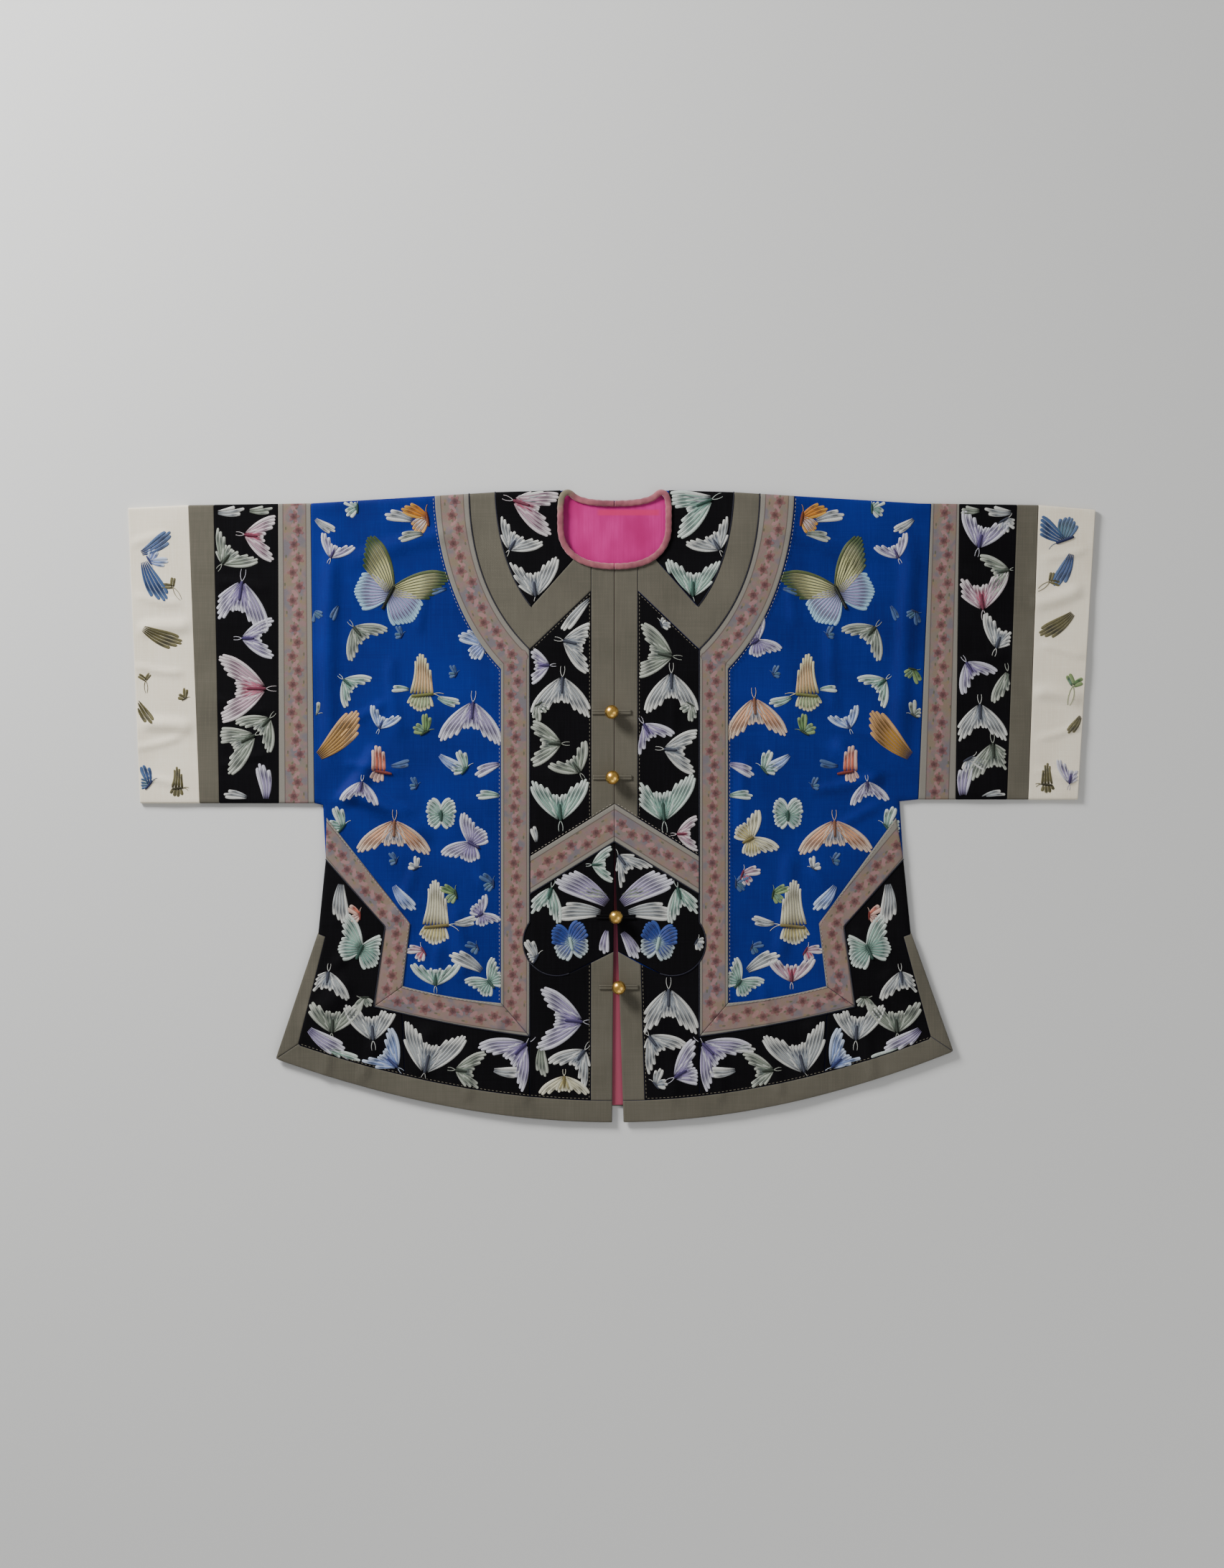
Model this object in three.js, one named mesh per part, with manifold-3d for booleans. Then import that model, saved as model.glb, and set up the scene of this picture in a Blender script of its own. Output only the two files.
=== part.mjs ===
// A woman's wide-sleeved Manchu jacket with a centre-front opening, laid flat with its front up.
// Millimetres. X runs across the sleeves, Y up to the collar, Z off the surface that the jacket lies on.
// The origin is the middle of the jacket's outline, on that surface.
//
// The blue silk ground carries strips that lie side by side: a black yoke with a grey band, floral ribbons,
// black butterfly borders and grey edge bands. The sleeve ends are flattened tubes, sewn edge to edge.
import * as THREE from "three";
import { mergeVertices } from "three/addons/utils/BufferGeometryUtils.js";
import Module from "manifold-3d";

const wasm = await Module();
wasm.setup();

// Driving sizes. u is the distance out from the front opening, v the height from the middle of the length.
const LENGTH = 680;
const TOP = LENGTH / 2;
const HEM = -LENGTH / 2;
const OPENING_X = 3; // the left sleeve is laid out 6 mm further than the right one
const SEAM_GAP = 0.3;
const CURVE_STEPS = 12;

// Heights of the layers above the surface: [underside, top].
const BACK_LAYER = [0, 1.2];
const LINING_LAYER = [1.5, 2.5];
const GROUND_LAYER = [2.8, 4.2];
const STRIP_LAYER = [4.5, 5.5];
const RIBBON_LAYER = [4.5, 5.8];
const SLEEVE_WALL = 1.2;
const SEAM_LIP = 1.2; // the front turns down to the back by a lip this wide, where the two are sewn
const ABOVE_ALL = 30;

// Strips on the front.
const PLACKET = 25; // half of the grey band down the centre front
const BORDER = 91; // out to the ribbon's inner edge
const RIBBON = 31;
const RIBBON_OUT = BORDER + RIBBON;
const HEM_BINDING = 23;
const BACK_BORDER = 91; // from the back's hem up to the blue ground
const BACK_HEM_RISE = 17; // the back is this much shorter at the centre
const BACK_SHY = 2; // and this much narrower at the slits

// The neck opening is a superellipse below its widest level, with straight sides above it.
const NECK = { halfWidth: 58, drop: 44, level: 300, power: 2.4 };
const NECK_SHOULDER = 338;
const BACK_NECK = { dip: 327, rise: 11, halfWidth: 52 };
const LINING = {
  neckHalf: 70,
  neckTop: 322,
  shelf: 236,
  stripHalf: 22,
  foot: HEM + BACK_HEM_RISE + 1,
  lower: 1.5,
};
const NECK_ROLL = { halfWidth: 3.3, halfHeight: 1.3, sections: 40, sides: 8 };

// What differs between the two sides as the jacket lies.
// seams: the sleeve's band edges, [at the shoulder fold, at the lower seam], from the ribbon out to the mouth.
const SIDES = {
  left: {
    sign: -1,
    seams: { ribbon: [326, 322], black: [361, 360], grey: [430, 424], cuff: [457, 445], mouth: [522, 509] },
    mouthDrop: 3,
    sleeveSeam: 2,
    underarm: 313,
    corner: -272,
    openAtHem: 2.5,
    placketSwing: 0.5,
  },
  right: {
    sign: 1,
    seams: { ribbon: [340, 326], black: [370, 366], grey: [432, 421], cuff: [455, 444], mouth: [516, 497] },
    mouthDrop: 5,
    sleeveSeam: 6,
    underarm: 306,
    corner: -264,
    openAtHem: 9.5,
    placketSwing: 7.5,
  },
};
const OPENING_PARTS_AT = -39; // above this height the two fronts meet edge to edge
const HEM_CORNER = 363;

// The shoulder fold falls gently from the neck to the sleeve's mouth.
const SHOULDER = [
  { u: 50, v: 338 },
  { u: 128, v: 336 },
  { u: 193, v: 332 },
  { u: 326, v: 324 },
  { u: 457, v: 322 },
];

// Points where the strips turn, {u, v}.
const YOKE_TIP = { u: 89.3, v: 213 };
const YOKE_NECK_U = 42;
const ARM_TIP = { u: BORDER, v: 167 };
const ARM_PLACKET = 230;
const FRONT_RIBBON_KNEE = 146;
const CHEVRON = { top: 1.5, bottom: -39, slope: -0.62 };
const CLOUD = { bottom: -157, lobeU: 62, lobeV: -147, lobeR: 36, lobeEnd: -Math.PI * 0.62 };
const RIBBON_CORNER = { inner: -212, outer: -248 };
const SLIT_CORNER = { innerU: 227, innerV: -194, outerU: 258, outerV: -216 };
const SLIT_KNEE = { innerU: 219, innerV: -127, outerU: 246, outerV: -130 };
const SLIT_RIBBON_TOP = { inner: -13, outer: -58 };
const SLIT_TOP = { u: 318, v: -138 };
const SIDE_WAIST = { u: 310, v: -58 };
const SLIT_BINDING = { topWidth: 8, cornerU: 339, cornerRise: 16 };
const BORDER_SEAM = 228;
const HEM_RIBBON_SAG = 2.5;

// The largest folds of the front: a soft ridge from (x1, y1) to (x2, y2), fading out at both ends.
const FOLDS = [
  { x1: -303, y1: 300, x2: -301, y2: 24, halfWidth: 15, height: 3.4 },
  { x1: 318, y1: 300, x2: 311, y2: 26, halfWidth: 16, height: 3.8 },
  { x1: -292, y1: 22, x2: -186, y2: -36, halfWidth: 20, height: 4.2 },
  { x1: -296, y1: -6, x2: -246, y2: 66, halfWidth: 17, height: 3.6 },
  { x1: 290, y1: 16, x2: 236, y2: 74, halfWidth: 18, height: 3.8 },
  { x1: -168, y1: -100, x2: -160, y2: -196, halfWidth: 16, height: 2.6 },
  { x1: 196, y1: -40, x2: 176, y2: -180, halfWidth: 18, height: 2.6 },
  { x1: -505, y1: 186, x2: -452, y2: 196, halfWidth: 15, height: 3.0 },
  { x1: -498, y1: 92, x2: -450, y2: 80, halfWidth: 14, height: 3.4 },
  { x1: 452, y1: 124, x2: 504, y2: 112, halfWidth: 15, height: 3.2 },
  { x1: 450, y1: 216, x2: 506, y2: 230, halfWidth: 15, height: 2.8 },
  { x1: -280, y1: -180, x2: -322, y2: -236, halfWidth: 17, height: 3.0 },
  { x1: -196, y1: -232, x2: -204, y2: -296, halfWidth: 16, height: 2.6 },
  { x1: 214, y1: -226, x2: 232, y2: -282, halfWidth: 17, height: 2.8 },
  { x1: 286, y1: -176, x2: 330, y2: -224, halfWidth: 17, height: 3.0 },
];
const FOLD_FADE = 0.22; // share of a fold's length over which each end fades
const GRID_STEP = 9;
const SLEEVE = { column: 16, frontRows: 22, backRows: 2, turn: 4 };
const SIMPLIFY = 0.06;

const CLOSURES = [
  { x: 0, y: 99.7, colour: "grey" },
  { x: 0.8, y: 29.6, colour: "grey" },
  { x: 4.5, y: -119.7, colour: "black" },
  { x: 7.6, y: -195.2, colour: "grey" },
];
const BUTTON = { radius: 7.5, shank: 1.2, shankLength: 1.9, steps: 12, sides: 20 };
const CORD = { length: 21, halfWidth: 2.6, thickness: 1.1, eye: 2, eyeOuter: 4.2 };

const COLOURS = {
  ground: { color: 0x12348f, roughness: 0.45 },
  black: { color: 0x0d0d11, roughness: 0.5 },
  grey: { color: 0x7c7668, roughness: 0.6 },
  ribbon: { color: 0xa98f83, roughness: 0.7 },
  cream: { color: 0xe6dfc9, roughness: 0.5 },
  lining: { color: 0xd8408f, roughness: 0.5 },
  binding: { color: 0x9a6c6e, roughness: 0.55 },
  brass: { color: 0xd9a441, roughness: 0.3, metalness: 1 },
};

const jacket = new THREE.Group();

function materialOf(name) {
  return new THREE.MeshStandardMaterial({ metalness: 0, ...COLOURS[name] });
}

function addMesh(name, geometry, colour) {
  const mesh = new THREE.Mesh(geometry, materialOf(colour));
  mesh.name = name;
  jacket.add(mesh);
  return mesh;
}

// Solids for cutting and joining

function solidFrom(geometry) {
  const bare = geometry.clone();
  for (const name of Object.keys(bare.attributes)) if (name !== "position") bare.deleteAttribute(name);
  const merged = mergeVertices(bare, 1e-4);
  return new wasm.Manifold(
    new wasm.Mesh({
      numProp: 3,
      vertProperties: merged.attributes.position.array,
      triVerts: new Uint32Array(merged.index.array),
    }),
  );
}

function geometryFrom(solid) {
  const made = solid.getMesh();
  const geometry = new THREE.BufferGeometry();
  geometry.setAttribute("position", new THREE.BufferAttribute(new Float32Array(made.vertProperties), 3));
  geometry.setIndex(new THREE.BufferAttribute(new Uint32Array(made.triVerts), 1));
  geometry.computeVertexNormals();
  return geometry;
}

function prism(outline, [low, high]) {
  const shape = new THREE.Shape(outline.map((p) => new THREE.Vector2(p.x, p.y)));
  const geometry = new THREE.ExtrudeGeometry(shape, { depth: high - low, bevelEnabled: false });
  geometry.translate(0, 0, low);
  return solidFrom(geometry);
}

// The cloth's surface

function smooth(t) {
  const s = Math.min(Math.max(t, 0), 1);
  return s * s * (3 - 2 * s);
}

// Height that the folds add to the front at (x, y).
function foldHeight(x, y) {
  let height = 0;
  for (const fold of FOLDS) {
    const dx = fold.x2 - fold.x1;
    const dy = fold.y2 - fold.y1;
    const length = Math.hypot(dx, dy);
    const along = ((x - fold.x1) * dx + (y - fold.y1) * dy) / (length * length);
    const across = Math.abs((x - fold.x1) * dy - (y - fold.y1) * dx) / length;
    const ends = smooth(along / FOLD_FADE) * smooth((1 - along) / FOLD_FADE);
    height += fold.height * ends * smooth(1 - across / fold.halfWidth);
  }
  return height;
}

// Every layer shares one grid, so the layers stay parallel where they lie on a fold.
function gridLines(from, to) {
  const first = Math.floor(from / GRID_STEP);
  const last = Math.ceil(to / GRID_STEP);
  return Array.from({ length: last - first + 1 }, (_, i) => (first + i) * GRID_STEP);
}

// A closed sheet that follows the folds between two heights, over the box of an outline.
function drapedSheet(outline, [low, high]) {
  const box = new THREE.Box2().setFromPoints(outline).expandByScalar(2);
  const xs = gridLines(box.min.x, box.max.x);
  const ys = gridLines(box.min.y, box.max.y);
  const positions = [];
  for (const base of [low, high])
    for (const y of ys) for (const x of xs) positions.push(x, y, base + foldHeight(x, y));
  const layer = xs.length * ys.length;
  const at = (i, j, top) => (top ? layer : 0) + j * xs.length + i;
  const triangles = [];
  const quad = (a, b, c, d) => triangles.push(a, b, c, a, c, d);
  for (let j = 0; j + 1 < ys.length; j++)
    for (let i = 0; i + 1 < xs.length; i++) {
      quad(at(i, j, 1), at(i + 1, j, 1), at(i + 1, j + 1, 1), at(i, j + 1, 1));
      quad(at(i, j, 0), at(i, j + 1, 0), at(i + 1, j + 1, 0), at(i + 1, j, 0));
    }
  const last = { i: xs.length - 1, j: ys.length - 1 };
  for (let i = 0; i < last.i; i++) {
    quad(at(i, 0, 0), at(i + 1, 0, 0), at(i + 1, 0, 1), at(i, 0, 1));
    quad(at(i + 1, last.j, 0), at(i, last.j, 0), at(i, last.j, 1), at(i + 1, last.j, 1));
  }
  for (let j = 0; j < last.j; j++) {
    quad(at(0, j + 1, 0), at(0, j, 0), at(0, j, 1), at(0, j + 1, 1));
    quad(at(last.i, j, 0), at(last.i, j + 1, 0), at(last.i, j + 1, 1), at(last.i, j, 1));
  }
  return new wasm.Manifold(
    new wasm.Mesh({
      numProp: 3,
      vertProperties: new Float32Array(positions),
      triVerts: new Uint32Array(triangles),
    }),
  );
}

// Outlines

const point = (u, v) => new THREE.Vector2(u, v);

function bezier(p0, p1, p2, p3) {
  return new THREE.CubicBezierCurve(p0, p1, p2, p3).getPoints(CURVE_STEPS);
}

function valueAt(table, u) {
  const next = table.findIndex((row) => row.u >= u);
  if (next === 0) return table[0].v;
  if (next < 0) return table.at(-1).v;
  const a = table[next - 1];
  const b = table[next];
  return a.v + ((b.v - a.v) * (u - a.u)) / (b.u - a.u);
}

// The outline moved in by a distance, with mitred corners, turned anticlockwise.
function inset(outline, distance) {
  const points = outline.filter((p, i) => p.distanceTo(outline[(i + 1) % outline.length]) > 0.05);
  if (THREE.ShapeUtils.area(points) < 0) points.reverse();
  const count = points.length;
  return points.map((p, i) => {
    const before = p.clone().sub(points[(i + count - 1) % count]).normalize();
    const after = points[(i + 1) % count].clone().sub(p).normalize();
    const normal = point(-before.y - after.y, before.x + after.x).normalize();
    const spread = Math.max(normal.dot(point(-before.y, before.x)), 0.35);
    return p.clone().addScaledVector(normal, distance / spread);
  });
}

function neckDrop(u) {
  const share = Math.min(Math.abs(u) / NECK.halfWidth, 1) ** NECK.power;
  return NECK.level - NECK.drop * (1 - share) ** (1 / NECK.power);
}

// The front neckline between two distances from the opening.
function neckline(from, to) {
  return Array.from({ length: CURVE_STEPS + 1 }, (_, i) => {
    const share = i / CURVE_STEPS;
    const eased = to > NECK.halfWidth - 1 ? Math.sin((share * Math.PI) / 2) : share;
    const u = from + (to - from) * eased;
    return point(u, neckDrop(u));
  });
}

function hemCurve(side) {
  const rise = side.corner - HEM;
  return bezier(point(0, HEM), point(130, HEM), point(250, HEM + 0.41 * rise), point(HEM_CORNER, side.corner));
}

function heightOn(curve, u) {
  return valueAt(
    curve.map((p) => ({ u: p.x, v: p.y })),
    u,
  );
}

function curveBetween(curve, from, to) {
  const inside = curve.filter((p) => p.x > from + 0.5 && p.x < to - 0.5);
  return [point(from, heightOn(curve, from)), ...inside, point(to, heightOn(curve, to))];
}

function openingEdge(side, v) {
  const share = Math.max(OPENING_PARTS_AT - v, 0) / (OPENING_PARTS_AT - HEM);
  return side.openAtHem * share;
}

function placketEdge(side, v) {
  const share = Math.max(OPENING_PARTS_AT - v, 0) / (OPENING_PARTS_AT - HEM);
  return PLACKET + side.placketSwing * share;
}

// The curves round the yoke, from the shoulder down.
const yokeTip = point(YOKE_TIP.u, YOKE_TIP.v);
const armTip = point(ARM_TIP.u, ARM_TIP.v);
const knee = point(RIBBON_OUT, FRONT_RIBBON_KNEE);
const yokeCurve = bezier(point(128, 336), point(127, 300), point(118, 248), yokeTip);
const ribbonInnerCurve = bezier(point(156, 334.3), point(155, 275), point(140, 215), armTip);
const ribbonOuterCurve = bezier(point(193, 332), point(191, 270), point(170, 196), knee);

const chevronTop = (u) => CHEVRON.top + CHEVRON.slope * u;
const chevronBottom = (u) => CHEVRON.bottom + CHEVRON.slope * u;

// The cloud's round lobe bulges over the ribbon, then turns in to its foot by the placket.
function lobe(from, to) {
  const steps = CURVE_STEPS / 2;
  return Array.from({ length: steps + 1 }, (_, i) => {
    const angle = from + ((to - from) * i) / steps;
    return point(CLOUD.lobeU + CLOUD.lobeR * Math.cos(angle), CLOUD.lobeV + CLOUD.lobeR * Math.sin(angle));
  });
}

const lobeCrossing = Math.acos((BORDER - CLOUD.lobeU) / CLOUD.lobeR);
const lobeOnRibbon = lobe(lobeCrossing, -lobeCrossing);
const lobeBelow = lobe(-lobeCrossing, CLOUD.lobeEnd);
const cloudFoot = lobeBelow.at(-1);
const cloudBase = (u) => CLOUD.bottom + ((cloudFoot.y - CLOUD.bottom) * u) / cloudFoot.x;

function hemRibbonEdge(inner) {
  const { innerU, innerV, outerU, outerV } = SLIT_CORNER;
  const from = inner ? point(RIBBON_OUT, RIBBON_CORNER.inner) : point(BORDER, RIBBON_CORNER.outer);
  const to = inner ? point(innerU, innerV) : point(outerU, outerV);
  const steps = CURVE_STEPS / 2;
  return Array.from({ length: steps + 1 }, (_, i) => {
    const share = i / steps;
    return from.clone().lerp(to, share).add(point(0, -HEM_RIBBON_SAG * 4 * share * (1 - share)));
  });
}

// Each strip of one side, as an outline in (u, v).
function stripOutlines(side) {
  const hem = hemCurve(side);
  const hemInner = hem.map((p) => point(p.x, p.y + HEM_BINDING));
  const seamTop = heightOn(hemRibbonEdge(false), BORDER_SEAM);
  const bindingCorner = point(SLIT_BINDING.cornerU, side.corner + SLIT_BINDING.cornerRise);
  const bindingTop = point(SLIT_TOP.u - SLIT_BINDING.topWidth, SLIT_TOP.v - 3);
  const hemInside = (from, to) => curveBetween([...hemInner.slice(0, -1), bindingCorner], from, to);
  const opening = (v) => point(openingEdge(side, v), v);
  const placketTop = placketEdge(side, cloudBase(PLACKET));
  const placketFoot = hemInside(placketEdge(side, HEM), BORDER)[0];
  const openFoot = heightOn(hemInner, 10);

  return {
    yoke: { colour: "black", outline: [
      ...neckline(YOKE_NECK_U, NECK.halfWidth),
      point(NECK.halfWidth, NECK_SHOULDER),
      ...yokeCurve,
    ] },
    yoke_band: { colour: "grey", outline: [
      ...[...yokeCurve].reverse(),
      ...ribbonInnerCurve,
      point(PLACKET, ARM_PLACKET),
      ...neckline(PLACKET, YOKE_NECK_U),
    ] },
    placket_upper: { colour: "grey", outline: [
      ...neckline(0, PLACKET),
      point(PLACKET, chevronTop(PLACKET)),
      point(0, CHEVRON.top),
    ] },
    front_band: { colour: "black", outline: [
      point(PLACKET, ARM_PLACKET),
      point(ARM_TIP.u, ARM_TIP.v),
      point(BORDER, chevronTop(BORDER)),
      point(PLACKET, chevronTop(PLACKET)),
    ] },
    chevron: { colour: "ribbon", outline: [
      point(0, CHEVRON.top),
      point(BORDER, chevronTop(BORDER)),
      point(BORDER, chevronBottom(BORDER)),
      point(0, CHEVRON.bottom),
    ] },
    cloud: { colour: "black", outline: [
      point(0, CHEVRON.bottom),
      point(BORDER, chevronBottom(BORDER)),
      ...lobeOnRibbon,
      ...lobeBelow.slice(1),
      opening(CLOUD.bottom),
    ] },
    ribbon_front: { colour: "ribbon", outline: [
      ...ribbonInnerCurve,
      ...lobeOnRibbon,
      point(BORDER, RIBBON_CORNER.outer),
      point(RIBBON_OUT, RIBBON_CORNER.inner),
      ...[...ribbonOuterCurve].reverse(),
    ] },
    ribbon_hem: { colour: "ribbon", outline: [...hemRibbonEdge(false), ...hemRibbonEdge(true).reverse()] },
    ribbon_slit: { colour: "ribbon", outline: [
      point(SLIT_CORNER.outerU, SLIT_CORNER.outerV),
      point(SLIT_KNEE.outerU, SLIT_KNEE.outerV),
      point(SIDE_WAIST.u, SLIT_RIBBON_TOP.outer),
      point(side.underarm - 4, SLIT_RIBBON_TOP.inner),
      point(SLIT_KNEE.innerU, SLIT_KNEE.innerV),
      point(SLIT_CORNER.innerU, SLIT_CORNER.innerV),
    ] },
    placket_lower: { colour: "grey", outline: [
      opening(CLOUD.bottom),
      point(placketTop, cloudBase(placketTop)),
      placketFoot,
      opening(openFoot),
    ] },
    border_front: { colour: "black", outline: [
      point(placketTop, cloudBase(placketTop)),
      ...[...lobeBelow].reverse(),
      ...hemInside(placketFoot.x, BORDER).reverse(),
    ] },
    border_hem: { colour: "black", outline: [
      ...curveBetween(hemRibbonEdge(false), BORDER, BORDER_SEAM),
      ...hemInside(BORDER, BORDER_SEAM - 3).reverse(),
    ] },
    border_side: { colour: "black", outline: [
      point(BORDER_SEAM, seamTop),
      point(SLIT_CORNER.outerU, SLIT_CORNER.outerV),
      point(SLIT_KNEE.outerU, SLIT_KNEE.outerV),
      point(SIDE_WAIST.u, SLIT_RIBBON_TOP.outer),
      point(SLIT_TOP.u, SLIT_TOP.v),
      bindingTop,
      ...hemInside(BORDER_SEAM - 3, SLIT_BINDING.cornerU).reverse(),
    ] },
    binding_slit: { colour: "grey", outline: [
      point(SLIT_TOP.u, SLIT_TOP.v),
      point(HEM_CORNER, side.corner),
      bindingCorner,
      bindingTop,
    ] },
    binding_hem: { colour: "grey", outline: [
      ...curveBetween(hem, side.openAtHem, HEM_CORNER),
      ...hemInside(openingEdge(side, openFoot), SLIT_BINDING.cornerU).reverse(),
    ] },
  };
}

function mouthTop(side) {
  return SHOULDER.at(-1).v - side.mouthDrop;
}

function shoulderLine(side, u) {
  return valueAt([...SHOULDER, { u: side.seams.mouth[0], v: mouthTop(side) }], u);
}

function sideSeam(side) {
  return [
    point(side.seams.ribbon[1], side.sleeveSeam),
    point(side.underarm, side.sleeveSeam - 2),
    point(SIDE_WAIST.u, SIDE_WAIST.v),
    point(SLIT_TOP.u, SLIT_TOP.v),
    point(HEM_CORNER, side.corner),
  ];
}

function groundOutline(side) {
  const sleeveTop = side.seams.ribbon[0];
  return [
    ...neckline(0, NECK.halfWidth),
    point(NECK.halfWidth, NECK_SHOULDER),
    ...SHOULDER.filter((row) => row.u > NECK.halfWidth && row.u < sleeveTop).map((row) => point(row.u, row.v)),
    point(sleeveTop, shoulderLine(side, sleeveTop)),
    ...sideSeam(side).slice(0, -1),
    ...hemCurve(side).reverse().slice(0, -1),
    point(side.openAtHem, HEM),
    point(0, OPENING_PARTS_AT),
  ];
}

function onPlan(side, outline) {
  return outline.map((p) => point(OPENING_X + side.sign * p.x, p.y));
}

// Pieces

function drapedSolid(outline, layer) {
  return drapedSheet(outline, layer).intersect(prism(outline, [0, ABOVE_ALL]));
}

function addStrip(name, colour, outline, layer) {
  const solid = drapedSolid(inset(outline, SEAM_GAP / 2), layer);
  addMesh(name, geometryFrom(solid.simplify(SIMPLIFY)), colour);
}

// The front ground, with the lip along its shoulder fold and its side seam.
function addGround(sideName, side) {
  const outline = inset(onPlan(side, groundOutline(side)), SEAM_GAP / 2);
  const lipHeights = [BACK_LAYER[1] + SEAM_GAP, (GROUND_LAYER[0] + GROUND_LAYER[1]) / 2];
  const rim = prism(outline, lipHeights).subtract(prism(inset(outline, SEAM_LIP), [0, ABOVE_ALL]));
  const stretch = (u0, u1, v0, v1) =>
    prism(onPlan(side, [point(u0, v0), point(u1, v0), point(u1, v1), point(u0, v1)]), [0, ABOVE_ALL]);
  const [foldEnd, seamEnd] = side.seams.ribbon.map((u) => u - SEAM_LIP);
  const shoulder = stretch(NECK.halfWidth + 2 * NECK_ROLL.halfWidth, foldEnd, side.sleeveSeam + RIBBON, TOP);
  const seam = stretch(SIDE_WAIST.u - RIBBON, seamEnd, SLIT_TOP.v, side.sleeveSeam + SEAM_LIP);
  const lip = rim.intersect(shoulder.add(seam));
  const solid = drapedSolid(outline, GROUND_LAYER).add(lip);
  addMesh(`ground_${sideName}`, geometryFrom(solid.simplify(SIMPLIFY)), "ground");
}

// One ring of a sleeve band at a section: over the front, round the fold, back underneath, round the seam.
function sleeveRing(side, top, bottom, wall) {
  const half = GROUND_LAYER[1] / 2;
  const radius = half - wall;
  const reach = top.y - bottom.y - 2 * half;
  const ring = [];
  const place = (v, z) => {
    const share = (v - bottom.y) / (top.y - bottom.y);
    const x = OPENING_X + side.sign * (bottom.x + (top.x - bottom.x) * share);
    const lift = z > half ? foldHeight(x, v) : 0;
    ring.push(new THREE.Vector3(x, v, z + lift));
  };
  const turn = (v, from) => {
    for (let i = 1; i < SLEEVE.turn; i++) {
      const angle = from - (Math.PI * i) / SLEEVE.turn;
      place(v + radius * Math.cos(angle), half + radius * Math.sin(angle));
    }
  };
  for (let i = 0; i <= SLEEVE.frontRows; i++)
    place(bottom.y + half + (reach * i) / SLEEVE.frontRows, half + radius);
  turn(top.y - half, Math.PI / 2);
  for (let i = 0; i <= SLEEVE.backRows; i++) place(top.y - half - (reach * i) / SLEEVE.backRows, half - radius);
  turn(bottom.y + half, -Math.PI / 2);
  return ring;
}

// A sleeve band: a flattened tube with a rounded fold above and a rounded seam below.
function addSleeveBand(sideName, side, name, colour, from, to) {
  const columns = Math.max(2, Math.round((to[0] - from[0]) / SLEEVE.column));
  const inside = SEAM_GAP / 2;
  const edge = (k, share) => from[k] + inside + (to[k] - from[k] - 2 * inside) * share;
  const rings = (wall) =>
    Array.from({ length: columns + 1 }, (_, c) => {
      const foldAt = edge(0, c / columns);
      const seamAt = edge(1, c / columns);
      return sleeveRing(side, point(foldAt, shoulderLine(side, foldAt)), point(seamAt, side.sleeveSeam), wall);
    });
  addMesh(`sleeve_${name}_${sideName}`, tubeGeometry(rings(0), rings(SLEEVE_WALL), side.sign), colour);
}

// A closed tube wall from matching outer and inner rings, one pair for each section.
function tubeGeometry(outer, inner, sign) {
  const sections = outer.length;
  const count = outer[0].length;
  const positions = [...outer, ...inner].flat().flatMap((p) => [p.x, p.y, p.z]);
  const at = (s, i, inside) => (inside ? sections * count : 0) + s * count + (i % count);
  const index = [];
  const quad = (a, b, c, d) => {
    if (sign > 0) index.push(a, b, c, a, c, d);
    else index.push(a, c, b, a, d, c);
  };
  for (let s = 0; s + 1 < sections; s++)
    for (let i = 0; i < count; i++) {
      quad(at(s, i, 0), at(s + 1, i, 0), at(s + 1, i + 1, 0), at(s, i + 1, 0));
      quad(at(s, i, 1), at(s, i + 1, 1), at(s + 1, i + 1, 1), at(s + 1, i, 1));
    }
  const end = sections - 1;
  for (let i = 0; i < count; i++) {
    quad(at(0, i, 0), at(0, i + 1, 0), at(0, i + 1, 1), at(0, i, 1));
    quad(at(end, i + 1, 0), at(end, i, 0), at(end, i, 1), at(end, i + 1, 1));
  }
  const geometry = new THREE.BufferGeometry();
  geometry.setAttribute("position", new THREE.Float32BufferAttribute(positions, 3));
  geometry.setIndex(index);
  geometry.computeVertexNormals();
  return geometry;
}

// The back's hem as seen from above, from the left corner to the right one, raised by a distance.
function backHem(raise) {
  const rise = (p) => p.y + raise + BACK_HEM_RISE * (1 - (p.x / HEM_CORNER) ** 2);
  const half = (side) => hemCurve(side).map((p) => point(OPENING_X + side.sign * p.x, rise(p)));
  return [...half(SIDES.left).reverse(), ...half(SIDES.right).slice(1)];
}

// The back's neckline dips between the shoulders. Lowered by a distance, it serves the lining and the binding.
const backNeck = (u, lower = 0) =>
  BACK_NECK.dip - lower + BACK_NECK.rise * Math.abs(u / BACK_NECK.halfWidth) ** 3;

function backNeckline(lower) {
  return Array.from({ length: 2 * CURVE_STEPS + 1 }, (_, i) => {
    const u = BACK_NECK.halfWidth * (i / CURVE_STEPS - 1);
    return point(OPENING_X + u, backNeck(u, lower));
  });
}

// One side of the back, from the shoulder by the neck to the top of the black border at the slit.
function backFlank(side) {
  const fold = SHOULDER.filter((row) => row.u > NECK.halfWidth && row.u < side.seams.ribbon[0]);
  return onPlan(side, [
    ...fold.map((row) => point(row.u, row.v)),
    point(side.seams.ribbon[0], shoulderLine(side, side.seams.ribbon[0])),
    ...sideSeam(side).slice(0, -2),
    point(SLIT_TOP.u - BACK_SHY, SLIT_TOP.v),
    slitEdge(side, BACK_BORDER),
  ]);
}

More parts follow.
